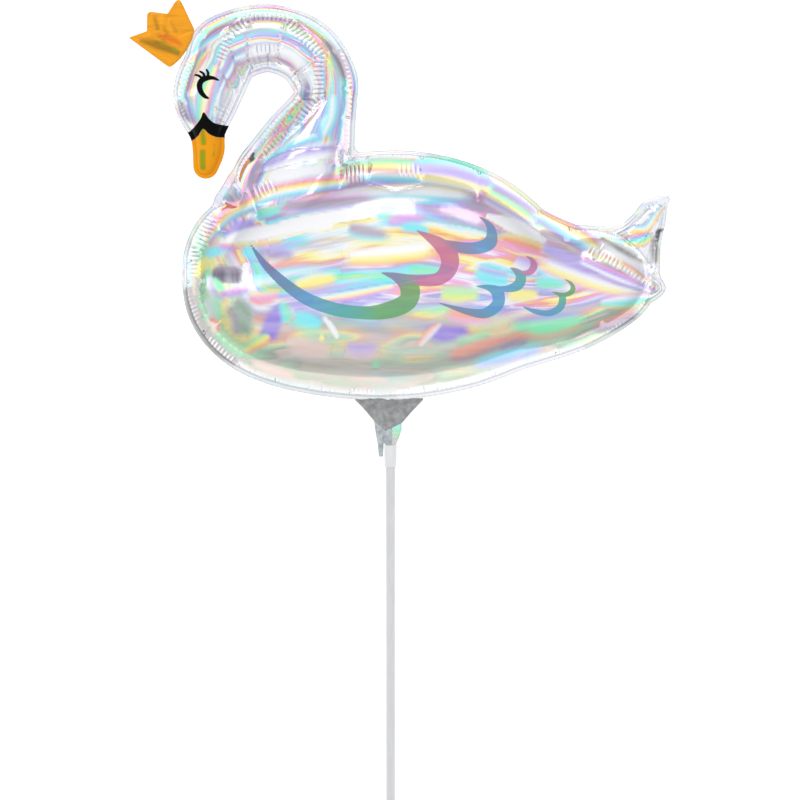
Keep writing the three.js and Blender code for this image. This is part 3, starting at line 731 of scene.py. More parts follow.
def polygon_gap(border, points):
    """Distance of each point outside a polygon, negative inside it."""
    nearest, inside = np.full(len(points), np.inf), np.zeros(len(points), bool)
    for a, b in zip(border, np.roll(border, -1, axis=0)):
        line = b - a
        share = np.clip((points - a) @ line / (line @ line), 0, 1)
        nearest = np.minimum(nearest, np.linalg.norm(points - a - share[:, None] * line, axis=1))
        if a[1] != b[1]:
            crossing = (a[1] > points[:, 1]) != (b[1] > points[:, 1])
            inside ^= crossing & (points[:, 0] < line[0] * (points[:, 1] - a[1]) / line[1] + a[0])
    return np.where(inside, -nearest, nearest)


def rounded(corners):
    """A polygon's border with each corner replaced by a curve that starts its radius away."""
    points = np.array(corners, float)[:, :2] * SHARE
    border = []
    for k, (*_, radius) in enumerate(corners):
        here = points[k]
        ends = []
        for other in (points[k - 1], points[(k + 1) % len(points)]):
            way = other - here
            span = np.linalg.norm(way)
            ends.append(here + way / span * min(radius * SHARE, 0.45 * span))
        for t in np.linspace(0, 1, 7):
            border.append((1 - t) ** 2 * ends[0] + 2 * t * (1 - t) * here + t**2 * ends[1])
    return np.array(border)


def sheet_plan(border, spacing):
    """Points and triangles that fill a polygon."""
    ring = []
    for a, b in zip(border, np.roll(border, -1, axis=0)):
        count = max(1, round(np.linalg.norm(b - a) / spacing))
        ring += [a + (b - a) * k / count for k in range(count)]
    inside = lattice(border.min(axis=0), border.max(axis=0), spacing)
    inside = inside[polygon_gap(border, inside) < -0.5 * spacing]
    return triangulated(
        np.vstack([ring, inside]), ring_edges(len(ring)),
        lambda middle: polygon_gap(border, middle) < 0,
    )


def height_between(line, x):
    """Height of a printed edge over each X, along a smooth curve through its points."""
    curve = swept([(*point, 0) for point in line], 6)
    order = np.argsort(curve[:, 0])
    return np.interp(x, curve[order, 0], curve[order, 1])


def fold_strength(folds, width, points, fading=True):
    """How strongly the film is pressed in, from 0 to 1: a narrow crease in a wide shallow dip."""
    strength = np.zeros(len(points))
    for fold in folds:
        share, aside, span = along_line(fold, points)
        beyond = np.maximum(0, np.maximum(-share, share - 1)) * span
        distance = np.hypot(aside, beyond)
        share = np.clip(share, 0, 1)
        crease = np.clip(1 - distance / (0.3 * width * (1 - 0.5 * share)), 0, 1) ** 1.5
        dip = np.clip(1 - distance / (width * (1 - 0.3 * share)), 0, 1) ** 2
        hold = (1 - share) ** 0.4 if fading else 1
        np.maximum(strength, hold * (0.6 * crease + 0.4 * dip), out=strength)
    return strength


def rib_bands(pitch, points):
    """How many ribs along its band each point lies, and how deep they are there, from 0 to 1."""
    turn, hold = np.zeros(len(points)), np.zeros(len(points))
    for *line, width in RIB_BANDS:
        share, aside, span = along_line(line, points)
        fade = np.clip(4 * (0.5 - np.abs(aside / (width * SHARE) - 0.5)), 0, 1)
        fade = np.where((share >= 0) & (share <= 1), fade, 0)
        turn = np.where(fade > hold, share * round(span / pitch), turn)
        hold = np.maximum(hold, fade)
    return turn, hold


def band_points(pitch):
    """Points in rows along each rib of the bands, four to a rib."""
    rows = []
    for *line, width in RIB_BANDS:
        start, way, across, span = line_frame(line)
        shares = np.linspace(0, 1, 4 * round(span / pitch) + 1)[:, None]
        count = max(3, round(abs(width) * SHARE / BAND_ROW))
        for reach in np.linspace(0, width * SHARE, count):
            rows.append(start + shares * way + reach * (across / span))
    return np.vstack(rows)


def rib_reach(points):
    """How far the fine ribs run in from each point of the seam: furthest inside the neck's bend."""
    reach = 7
    for place, full, fading, more in (((-238, 546), 64, 40, 17), ((-360, 200), 0, 160, 12)):
        away = np.linalg.norm(points - np.array(place) * SHARE, axis=1) - full * SHARE
        reach = reach + more * np.clip(1 - away / (fading * SHARE), 0, 1)
    return reach * MM


def stroke_place(line, points):
    """Distance outside a stroke, how far along it from 0 to 1, and how far aside from -1 to 1."""
    discs = swept(line, 10)
    outside = [np.hypot(*(points - disc[:2]).T) - disc[2] for disc in discs]
    closest = np.argmin(outside, axis=0)
    way, disc = ways_along(discs[:, :2])[closest], discs[closest]
    shift = points - disc[:, :2]
    aside = (shift[:, 0] * way[:, 1] - shift[:, 1] * way[:, 0]) / disc[:, 2]
    return np.min(outside, axis=0), closest / (len(discs) - 1), np.clip(aside, -1, 1)


def blended_colours(colours, names, ends, where):
    """The named colours, spread evenly between two ends and run into each other, at each place."""
    stops = np.array([tuple(getattr(colours, name)) for name in names])
    places = np.linspace(*ends, len(stops))
    return np.column_stack([np.interp(where, places, stops[:, k]) for k in range(4)])


def stroke_tints(points, colours):
    """Distance outside the feather strokes, and their ink, for each point."""
    nearest = np.full(len(points), np.inf)
    total, weights = np.zeros((len(points), 4)), np.full(len(points), 1e-12)
    for inks, line in FEATHERS:
        distance, along, _ = stroke_place(line, points)
        tints = blended_colours(colours, [f"ink_{ink}" for ink in inks], (0, 1), along)
        weight = np.exp(-np.clip(distance, -3 * MM, 20 * MM) / INK_RUN)
        total += weight[:, None] * tints
        weights += weight
        nearest = np.minimum(nearest, distance)
    return nearest, total / weights[:, None]


def painted_glints(points, colours):
    """The painted reflection of the placed bands, and how strongly it holds, for each point."""
    tint, hold = np.zeros((len(points), 4)), np.zeros(len(points))
    for names, soft, line in PAINTED_GLINTS:
        distance, along, aside = stroke_place(line, points)
        band = blended_colours(colours, names.split(), (-1, 1), aside)
        share = np.clip(0.5 - distance / (soft * MM), 0, 1)
        share = share * share * (3 - 2 * share)
        if soft > FADING_SOFTNESS:
            share = share * np.clip(np.minimum(along, 1 - along) / FADING_SHARE, 0, 1)
        share = share[:, None]
        tint = tint * (1 - share) + band * share
        hold = 1 - (1 - hold) * (1 - share[:, 0])
    return tint / np.maximum(hold, 1e-6)[:, None], hold


def face_print(points):
    """Distances outside the black ink and outside the bill."""
    x, y = points[:, 0], points[:, 1]
    top, foot = height_between(BAND_TOP, x), height_between(BAND_FOOT, x)
    head = gap(swept(NECK_LINE[-6:]), points) - INK_OVERLAP
    band = np.maximum.reduce([0.8 * (y - top), 0.8 * (foot - y), head])
    strokes = [gap(swept(line, 8), points) for line in EYE_STROKES]
    bill = np.maximum(y - foot, gap(swept(NECK_LINE[-5:]), points) - INK_OVERLAP)
    return np.minimum.reduce([band, *strokes]), bill


def film_plan(sizes):
    """The film's flat plan: rows along the seam, a lattice, and finer points at the print."""
    margin, spacing = sizes.seam_margin, sizes.mesh_spacing
    loop = rim_loop(sizes.rim_spacing)
    rows = [loop]
    for depth in WELD_ROWS:
        row = moved_to(loop, depth * margin)
        rows.append(row[np.abs(outline(row) + depth * margin) < 0.1 * MM])
    inner = WELD_ROWS[-1] * margin + 0.45 * spacing
    low, high = loop.min(axis=0), loop.max(axis=0)
    coarse = lattice(low, high, spacing)
    coarse = coarse[(outline(coarse) < -inner) & (rib_bands(sizes.rib_pitch, coarse)[1] == 0)]
    fine = lattice(low, high, 0.5 * spacing)
    fine = fine[outline(fine) < -inner]
    ribs = band_points(sizes.rib_pitch)
    ribs = ribs[outline(ribs) < -1.3 * margin]
    feathers = np.abs(np.min([stroke_place(line, fine)[0] for _, line in FEATHERS], axis=0))
    black, bill = (np.abs(distance) for distance in face_print(fine))
    fine = fine[np.minimum.reduce([feathers, black, bill]) < 0.8 * spacing]
    lines = NECK_FOLDS + BODY_FOLDS + TAIL_FOLDS + PANEL_EDGES
    folds = [fold_line(fold, 0.7 * spacing) for fold in lines]
    folds = [fold[outline(fold) < -1.1 * margin] for fold in folds]
    points = np.vstack([*rows, coarse, fine, ribs, *folds])
    edges = ring_edges(len(loop))
    first = len(points) - sum(len(fold) for fold in folds)
    for fold in folds:
        edges += [(first + k, first + k + 1) for k in range(len(fold) - 1)]
        first += len(fold)
    flat, faces = triangulated(points, edges, lambda middle: outline(middle) < 0.02 * MM)
    return loop, flat, faces


def new_tree(name, piece, sizes):
    """A geometry node tree that takes and gives one piece, with its sizes as named inputs."""
    tree = bpy.data.node_groups.new(name, "GeometryNodeTree")
    tree.interface.new_socket(piece, in_out="INPUT", socket_type="NodeSocketGeometry")
    for size in sizes:
        tree.interface.new_socket(size, in_out="INPUT", socket_type="NodeSocketFloat")
    tree.interface.new_socket(piece, in_out="OUTPUT", socket_type="NodeSocketGeometry")
    return tree


def pleats_tree(material):
    """Presses folds and fine ribs into the film, from attributes measured along its seam.

    The slopes and the ribs, from -1 in a valley to 1 on top, are kept for the film's colours: its
    painted reflections follow the slopes, and painted shade and highlight follow the ribs.
    """
    tree = new_tree("film_pleats", "Film", ("Rib pitch", "Rib depth", "Fold depth", "Seam margin"))
    given = add(tree, "NodeGroupInput").outputs
    along, depth, reach, fold, band_turn, band_hold = (
        add(tree, "GeometryNodeInputNamedAttribute", {"Name": name}, data_type="FLOAT").outputs[0]
        for name in ("seam_along", "seam_depth", "rib_reach", "fold", "band_turn", "band_hold")
    )
    inside = add(tree, "ShaderNodeMath", {0: depth, 1: given["Seam margin"]}, operation="SUBTRACT")
    turns = add(tree, "ShaderNodeMath", {0: along, 1: given["Rib pitch"]}, operation="DIVIDE")
    # Each rib has a length of its own, and groups of ribs come and go along the seam.
    rib = add(tree, "ShaderNodeMath", {0: turns}, operation="FLOOR")
    own = add(tree, "ShaderNodeTexWhiteNoise", {"W": rib}, noise_dimensions="1D")
    own_reach = add(
        tree, "ShaderNodeMapRange", {"Value": own, "To Min": 0.45, "To Max": 1.15}
    )
    rib_end = add(tree, "ShaderNodeMath", {0: own_reach, 1: reach}, operation="MULTIPLY")
    fade = add(
        tree, "ShaderNodeMapRange", {"Value": inside, "From Min": rib_end, "From Max": 0.0},
        interpolation_type="SMOOTHSTEP",
    )
    start = add(
        tree, "ShaderNodeMapRange", {"Value": inside, "From Max": 0.8 * MM},
        interpolation_type="SMOOTHSTEP",
    )
    groups = add(
        tree, "ShaderNodeTexNoise", {"W": along, "Scale": 42.0, "Detail": 1.0},
        noise_dimensions="1D",
    )
    group = add(
        tree, "ShaderNodeMapRange",
        {"Value": groups.outputs[0], "From Min": 0.38, "From Max": 0.6, "To Min": 0.15},
        interpolation_type="SMOOTHSTEP",
    )
    press = add(tree, "ShaderNodeMath", {0: fold, 1: given["Fold depth"]}, operation="MULTIPLY")
    press = add(tree, "ShaderNodeMath", {0: press, 1: start}, operation="MULTIPLY")
    shown = 0.0
    for turn, factors in ((turns, (fade, start, group)), (band_turn, (band_hold, start))):
        angle = add(tree, "ShaderNodeMath", {0: turn, 1: math.pi}, operation="MULTIPLY")
        wave = add(tree, "ShaderNodeMath", {0: angle}, operation="SINE")
        bulge = add(tree, "ShaderNodeMath", {0: wave}, operation="ABSOLUTE")
        ribs = add(tree, "ShaderNodeMath", {0: 1.0, 1: bulge}, operation="SUBTRACT")
        level = add(tree, "ShaderNodeMath", {0: bulge, 1: 1.8, 2: -0.9}, operation="MULTIPLY_ADD")
        for factor in factors:
            ribs = add(tree, "ShaderNodeMath", {0: ribs, 1: factor}, operation="MULTIPLY")
            level = add(tree, "ShaderNodeMath", {0: level, 1: factor}, operation="MULTIPLY")
        shown = add(tree, "ShaderNodeMath", {0: level, 1: shown}, operation="ADD")
        ribs = add(tree, "ShaderNodeMath", {0: ribs, 1: given["Rib depth"]}, operation="MULTIPLY")
        press = add(tree, "ShaderNodeMath", {0: press, 1: ribs}, operation="ADD")
    inwards = add(tree, "ShaderNodeMath", {0: press, 1: -1.0}, operation="MULTIPLY")
    shift = add(
        tree, "ShaderNodeVectorMath", {0: add(tree, "GeometryNodeInputNormal"), "Scale": inwards},
        operation="SCALE",
    )
    pressed = add(tree, "GeometryNodeSetPosition", {"Geometry": given["Film"], "Offset": shift})
    tilted = add(
        tree, "GeometryNodeStoreNamedAttribute",
        {"Geometry": pressed, "Name": "tilt", "Value": add(tree, "GeometryNodeInputNormal")},
        data_type="FLOAT_VECTOR", domain="POINT",
    )
    ribbed = add(
        tree, "GeometryNodeStoreNamedAttribute",
        {"Geometry": tilted, "Name": "rib", "Value": shown}, data_type="FLOAT", domain="POINT",
    )
    real = add(tree, "GeometryNodeRealizeInstances", {"Geometry": ribbed})
    dressed = add(tree, "GeometryNodeSetMaterial", {"Geometry": real, "Material": material})
    add(tree, "NodeGroupOutput", {"Film": dressed})
    return tree


def through_nodes(piece, tree, values):
    """Runs a piece through a node tree with the given named inputs, and keeps the plain result."""
    modifier = piece.modifiers.new(tree.name, "NODES")
    modifier.node_group = tree
    for socket in tree.interface.items_tree:
        if socket.in_out == "INPUT" and socket.name in values:
            modifier[socket.identifier] = values[socket.name]
    seen = piece.evaluated_get(bpy.context.evaluated_depsgraph_get())
    result = bpy.data.meshes.new_from_object(seen)
    result.name = piece.name
    piece.modifiers.remove(modifier)
    piece.data = result
    result.shade_smooth()


def keep_piece(piece, node, mirrored=False):
    """Puts a finished piece on the body, in the place of its solid.

    The film is too crinkled to mirror what is next to it, so only the film itself is mirrored.
    """
    piece.visible_glossy = mirrored
    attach(piece, "root")
    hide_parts(node)


# Materials


def new_material(name):
    """A material with an empty tree."""
    material = bpy.data.materials.new(name)
    material.use_nodes = True
    material.node_tree.nodes.clear()
    return material, material.node_tree


def toned(colour, factor):
    """A colour made darker or lighter."""
    return (*(min(1.0, factor * v) for v in colour[:3]), 1.0)


def foil_colours(tree, colours, place):
    """Painted reflections: rainbow streaks along the chambers, with silver and grey between them.
    """
    flowing, tilt, glint = (
        add(tree, "ShaderNodeAttribute", attribute_name=name) for name in ("flow", "tilt", "glint")
    )
    rib, depth, hold = (
        add(tree, "ShaderNodeAttribute", attribute_name=name).outputs["Fac"]
        for name in ("rib", "seam_depth", "glint_hold")
    )
    run, slope, across = (
        add(tree, "ShaderNodeSeparateXYZ", {0: vector}).outputs
        for vector in (flowing.outputs["Vector"], tilt.outputs["Vector"], place)
    )
    # Slow waves of about 110 mm bend the streaks.
    warp = add(tree, "ShaderNodeTexNoise", {"Vector": place, "Scale": 9.0, "Detail": 1.0})
    bent = add(
        tree, "ShaderNodeVectorMath",
        {0: warp.outputs["Color"], 1: (0.03, 0.16, 0.0), 2: flowing.outputs["Vector"]},
        operation="MULTIPLY_ADD",
    )
    # Streaks about 180 mm long and 20 mm high on the body, finer ones of 45 by 6 mm in them, the
    # brushing, silver areas, dull areas, and the belly's blotches of about 40 by 15 mm.
    streak, fine, brushed, calm, dull, blotch = (
        add(
            tree, "ShaderNodeTexNoise",
            {
                "Vector": add(
                    tree, "ShaderNodeMapping", {0: bent, "Location": shift, "Scale": scale}
                ),
                "Scale": 1.0, "Detail": detail,
            },
        ).outputs[0]
        for shift, scale, detail in (
            ((0, 0, 0), (5.5, 3.6, 1.7), 1.5), ((0, 0, 0), (22.0, 13.0, 1.7), 2.0),
            ((0, 0, 0), (30.0, 70.0, 1.7), 1.0), ((3.1, 1.7, 0.4), (10.0, 5.0, 1.3), 2.0),
            ((-2.3, 5.1, 0.8), (12.0, 9.0, 2.1), 3.0), ((7.7, 0.3, 0.8), (18.0, 6.0, 2.1), 1.5),
        )
    )
    # Flat shards of about 55 by 12 mm, each a little further in the rainbow.
    shard_place = add(
        tree, "ShaderNodeMapping",
        {0: place, "Rotation": (0, 0, 0.25), "Scale": (0.055, 0.012, 0.05)}, vector_type="TEXTURE",
    )
    shard = add(
        tree, "ShaderNodeTexVoronoi", {"Vector": shard_place, "Scale": 1.0, "Smoothness": 0.5},
        feature="SMOOTH_F1",
    )
    shard_value = add(tree, "ShaderNodeSeparateColor", {0: shard.outputs["Color"]})
    steepness = add(tree, "ShaderNodeMath", {0: 1.0, 1: slope[2]}, operation="SUBTRACT")
    # Painted reflection: the rainbow follows the film's slope and ribs as well as its streaks.
    phase = 0.07
    for part, weight in (
        (streak, 1.2), (run[1], 0.7), (steepness, 0.5), (slope[0], 0.15), (shard_value, 0.2),
        (fine, 0.3), (brushed, 0.07), (rib, 0.12),
    ):
        phase = add(
            tree, "ShaderNodeMath", {0: part, 1: weight, 2: phase}, operation="MULTIPLY_ADD"
        )
    blotch_phase = add(
        tree, "ShaderNodeMath", {0: blotch, 1: 1.5, 2: run[1]}, operation="MULTIPLY_ADD"
    )
    rainbow, deep = (
        add(
            tree, "ShaderNodeValToRGB",
            {0: add(tree, "ShaderNodeMath", {0: turn}, operation="FRACT")},
            stops=[(position, getattr(colours, name)) for position, name in stops],
        )
        for turn, stops in ((phase, RAINBOW), (blotch_phase, BELLY_RAINBOW))
    )
    on_body = add(tree, "ShaderNodeMath", {0: run[2], 1: 0.5}, operation="LESS_THAN")
    tail = add(tree, "ShaderNodeMath", {0: run[2], 1: 1.5}, operation="GREATER_THAN")
    middle = add(tree, "ShaderNodeMath", {0: across[0]}, operation="ABSOLUTE")
    # What lies over the rainbow: silver areas of about the streaks' length, grey ones where it
    # shows faintly, the belly's blotches, its beige, brushed middle, a pale strip next to the weld
    # that is a painted reflection, brushing through every colour, and ribs with painted shade in
    # their valleys and a painted highlight on top.
    silver, grey, low, beige, middle, grain, rim, brushing, valley, painted_rib_highlight = (
        add(
            tree, "ShaderNodeMapRange",
            {"Value": value, "From Min": start, "From Max": end, "To Min": least, "To Max": most},
        )
        for value, start, end, least, most in (
            (calm, 0.5, 0.66, 0.0, 0.8), (dull, 0.54, 0.66, 0.0, 0.6),
            (run[1], -0.2, -0.5, 0.0, 1.0), (run[1], -0.25, -0.6, 0.0, 1.0),
            (middle, 50 * MM, 120 * MM, 0.95, 0.25), (brushed, 0.35, 0.65, 0.6, 1.0),
            (depth, 3 * MM, 8 * MM, 0.65, 0.0), (fine, 0.35, 0.65, 0.0, 0.22),
            (rib, -0.1, -0.8, 0.0, 0.75), (rib, 0.35, 0.85, 0.0, 0.7),
        )
    )
    silver = add(
        tree, "ShaderNodeMath", {0: tail, 1: 0.75, 2: silver}, operation="MULTIPLY_ADD",
        use_clamp=True,
    )
    low = add(tree, "ShaderNodeMath", {0: low, 1: on_body}, operation="MULTIPLY")
    for part in (middle, on_body, grain):
        beige = add(tree, "ShaderNodeMath", {0: beige, 1: part}, operation="MULTIPLY")
    film = rainbow
    for share, colour in (
        (silver, colours.silver), (grey, colours.mauve), (low, deep), (beige, colours.beige),
        (rim, colours.silver), (hold, glint.outputs["Color"]), (brushing, colours.silver),
        (valley, colours.rib_shade), (painted_rib_highlight, colours.silver),
    ):
        film = add(tree, "ShaderNodeMix", {0: share, 6: film, 7: colour}, data_type="RGBA")
    return film


def holographic_film(colours, printed):
    """Holographic film, embossed and metallised polyester.

    It mirrors softly, and its fine grooves part the light into pastel colours that run along the
    slopes; these are painted into its colour as painted reflections. The ink on it is printed by
    gravure: flat, semi-matt, with a crisp edge.
    """
    name = "Embossed metallised polyester film" + (", gravure printed" if printed else "")
    material, tree = new_material(name)
    place = add(tree, "ShaderNodeTexCoord").outputs["Object"]
    film = foil_colours(tree, colours, place)
    crinkle = add(
        tree, "ShaderNodeTexNoise",
        {"Vector": place, "Scale": 260.0, "Detail": 2.0, "Roughness": 0.5},
    )
    bump = add(
        tree, "ShaderNodeBump",
        {"Height": crinkle.outputs[0], "Strength": 0.08, "Distance": 0.3 * MM},
    )
    surface = {"Metallic": 0.85, "Roughness": 0.13, "Specular IOR Level": 0.5}
    if printed:
        # Ink from 0 outside a printed edge to 1 inside it, over a quarter of a millimetre; the
        # bill's painted green reflection runs in more softly.
        feather, bill, black, streak = (
            add(
                tree, "ShaderNodeMapRange",
                {
                    "Value": add(tree, "ShaderNodeAttribute", attribute_name=name).outputs["Fac"],
                    "From Min": start * MM, "From Max": end * MM, "To Max": most,
                },
            )
            for name, start, end, most in (
                ("feather_gap", 0.12, -0.12, 1.0), ("bill_gap", 0.12, -0.12, 1.0),
                ("black_gap", 0.12, -0.12, 1.0), ("streak_gap", 0.5, -0.9, 0.85),
            )
        )
        # The feather ink is a see-through lacquer, so the film's own colours and painted
        # reflections tint it a little.
        under = add(tree, "ShaderNodeMix", {0: 0.6, 6: film, 7: colours.silver}, data_type="RGBA")
        tint = add(tree, "ShaderNodeAttribute", attribute_name="feather_tint")
        lacquer = add(
            tree, "ShaderNodeMix", {0: 1.0, 6: under, 7: tint.outputs["Color"]}, data_type="RGBA",
            blend_type="MULTIPLY",
        )
        # The bill's orange ink, with painted green reflections of the film in it.
        orange = add(
            tree, "ShaderNodeMix", {0: streak, 6: colours.bill, 7: colours.painted_green_glint},
            data_type="RGBA",
        )
        for share, ink in ((feather, lacquer), (bill, orange), (black, colours.black)):
            film = add(tree, "ShaderNodeMix", {0: share, 6: film, 7: ink}, data_type="RGBA")
        opaque = add(tree, "ShaderNodeMath", {0: bill, 1: black}, operation="MAXIMUM")
        ink = add(tree, "ShaderNodeMath", {0: opaque, 1: feather}, operation="MAXIMUM")
        surface = {
            socket: add(
                tree, "ShaderNodeMapRange", {"Value": share, "To Min": bare, "To Max": inked}
            )
            for socket, share, bare, inked in (
                ("Metallic", ink, 0.85, 0.1), ("Roughness", ink, 0.13, 0.4),
                ("Specular IOR Level", opaque, 0.5, 0.08),
            )
        }
    shader = add(tree, "ShaderNodeBsdfPrincipled", {"Base Color": film, "Normal": bump, **surface})
    add(tree, "ShaderNodeOutputMaterial", {"Surface": shader})
    return material


def gold_film(colours):
    """Gold foil, metallised polyester with an orange lacquer.

    It throws back one even orange, with soft olive patches of painted shade in its folds, a
    painted red glow and painted green reflections.
    """
    material, tree = new_material("Orange-lacquered metallised film")
    place = add(tree, "ShaderNodeTexCoord").outputs["Object"]
    # Faint brushed streaks of about 20 by 2 mm.
    brushed = add(tree, "ShaderNodeMapping", {0: place, "Scale": (60.0, 420.0, 60.0)})
    streaks = add(
        tree, "ShaderNodeTexNoise",
        {"Vector": brushed, "Scale": 1.0, "Detail": 2.0, "Distortion": 0.6},
    )
    share = add(
        tree, "ShaderNodeMapRange",
        {"Value": streaks.outputs[0], "From Min": 0.5, "From Max": 0.7, "To Max": 0.25},
    )
    patches = add(tree, "ShaderNodeAttribute", attribute_name="crown_tint")
    film = add(
        tree, "ShaderNodeMix", {0: share, 6: patches.outputs["Color"], 7: colours.gold_shade},
        data_type="RGBA",
    )
    crinkle = add(tree, "ShaderNodeTexNoise", {"Vector": place, "Scale": 150.0, "Detail": 2.0})
    bump = add(
        tree, "ShaderNodeBump",
        {"Height": crinkle.outputs[0], "Strength": 0.12, "Distance": 0.6 * MM},
    )
    shader = add(
        tree, "ShaderNodeBsdfPrincipled",
        {"Base Color": film, "Metallic": 0.55, "Roughness": 0.36, "Normal": bump},
    )
    add(tree, "ShaderNodeOutputMaterial", {"Surface": shader})
    return material


def matt_film(name, colour):
    """Heat-seal film, the cast polyethylene side of the foil: grey, matt and slightly crinkled."""
    material, tree = new_material(name)
    place = add(tree, "ShaderNodeTexCoord").outputs["Object"]
    # Blotches of about 3 mm, and a grain of half a millimetre.
    blotches = add(tree, "ShaderNodeTexNoise", {"Vector": place, "Scale": 330.0, "Detail": 3.0})
    grain = add(tree, "ShaderNodeTexNoise", {"Vector": place, "Scale": 1800.0, "Detail": 1.0})
    tone = add(
        tree, "ShaderNodeValToRGB", {0: blotches.outputs[0]},
        stops=[(0.3, toned(colour, 0.72)), (0.7, toned(colour, 1.25))],
    )
    rough = add(
        tree, "ShaderNodeMapRange", {"Value": grain.outputs[0], "To Min": 0.4, "To Max": 0.62}
    )
    bump = add(
        tree, "ShaderNodeBump",
        {"Height": blotches.outputs[0], "Strength": 0.35, "Distance": 0.5 * MM},
    )
    shader = add(
        tree, "ShaderNodeBsdfPrincipled",
        {"Base Color": tone, "Metallic": 0.3, "Roughness": rough, "Normal": bump},
    )
    add(tree, "ShaderNodeOutputMaterial", {"Surface": shader})
    return material


def moulded_plastic(name, colour, clarity):
    """Polypropylene, moulded or extruded: milky, with a soft gloss and faint flow marks."""
    material, tree = new_material(name)
    place = add(tree, "ShaderNodeTexCoord").outputs["Object"]
    # Flow marks run along the stick: 2 mm apart round it, and 40 mm long.
    stretched = add(tree, "ShaderNodeMapping", {0: place, "Scale": (500.0, 25.0, 500.0)})
    marks = add(tree, "ShaderNodeTexNoise", {"Vector": stretched, "Scale": 1.0, "Detail": 2.0})
    tone = add(
        tree, "ShaderNodeValToRGB", {0: marks.outputs[0]},
        stops=[(0.35, toned(colour, 0.94)), (0.65, colour)],
    )
    rough = add(
        tree, "ShaderNodeMapRange", {"Value": marks.outputs[0], "To Min": 0.3, "To Max": 0.46}
    )
    bump = add(
        tree, "ShaderNodeBump", {"Height": marks.outputs[0], "Strength": 0.1, "Distance": 0.2 * MM}
    )
    shader = add(
        tree, "ShaderNodeBsdfPrincipled",
        {
            "Base Color": tone, "Roughness": rough, "Normal": bump, "IOR": 1.49,
            "Transmission Weight": clarity,
        },
    )
    add(tree, "ShaderNodeOutputMaterial", {"Surface": shader})
    return material


# Pieces


class SWAN_OT_stage(bpy.types.Operator):
    """Sets the floor, the soft lights and the camera above the lying balloon"""

    bl_idname = "swan.stage"
    bl_label = "Studio stage"

    def execute(self, context):
        scene = context.scene
        scene.view_settings.view_transform = "Standard"
        colours = scene.swan_colours
        mesh = bpy.data.meshes.new("studio_floor")
        floor = bmesh.new()
        bmesh.ops.create_grid(floor, x_segments=1, y_segments=1, size=6)
        floor.to_mesh(mesh)
        floor.free()
        paint = bpy.data.materials.new("Matt white paint")
        paint.use_nodes = True
        shader = paint.node_tree.nodes["Principled BSDF"]
        for socket, value in (
            ("Base Color", colours.floor), ("Roughness", 0.9), ("Emission Color", colours.floor),
            ("Emission Strength", 0.4),
        ):
            shader.inputs[socket].default_value = value
        mesh.materials.append(paint)
        linked("studio_floor", mesh)
        self.add_world(scene)
        for name, place, size, power in (
            ("upper_softbox", (-0.05, 1.28, 1.2), (0.5, 0.3), 0.9),
            ("right_softbox", (0.65, 1.25, 1.12), (0.4, 0.3), 0.4),
            ("left_softbox", (-1.5, 0.2, 1.1), (0.3, 1.2), 0.6),
        ):
            self.add_light(name, place, size, power)
        scene.camera = self.add_camera()
        return {"FINISHED"}

    def add_world(self, scene):
        world = bpy.data.worlds.new("studio_room")
        world.use_nodes = True
        tree = world.node_tree
        tree.nodes.clear()
        direction = add(tree, "ShaderNodeTexCoord").outputs["Generated"]
        up = add(tree, "ShaderNodeSeparateXYZ", {0: direction})
        room = add(
            tree, "ShaderNodeValToRGB", {0: up.outputs[2]},
            stops=[(height, linear(code)) for height, code in ROOM_COLOURS],
        )
        glow = add(tree, "ShaderNodeBackground", {"Color": room, "Strength": 1.04})
        add(tree, "ShaderNodeOutputWorld", {"Surface": glow})
        scene.world = world

    def add_light(self, name, place, size, power):
        lamp = bpy.data.lights.new(name, "AREA")
        lamp.shape = "RECTANGLE"
        lamp.size, lamp.size_y = size
        lamp.energy = power
        light = linked(name, lamp)
        light.location = place
        aim = Vector(LAMP_TARGET) - light.location
        light.rotation_euler = aim.to_track_quat("-Z", "Y").to_euler()

    def add_camera(self):
        """Looks straight down, with the swan as wide in the picture as in the photograph."""
        lens = bpy.data.cameras.new("camera")
        lens.sensor_width = SENSOR_WIDTH
        width = PHOTO_WIDTH / SWAN_PIXELS * SWAN_LENGTH
        lens.lens = SENSOR_WIDTH * CAMERA_DISTANCE / width
        camera = linked("camera", lens)
        camera.location = SWAN_ORIGIN + Vector(
            (AXIS_OFFSET / SWAN_PIXELS * SWAN_LENGTH, 0, CAMERA_DISTANCE)
        )
        return camera


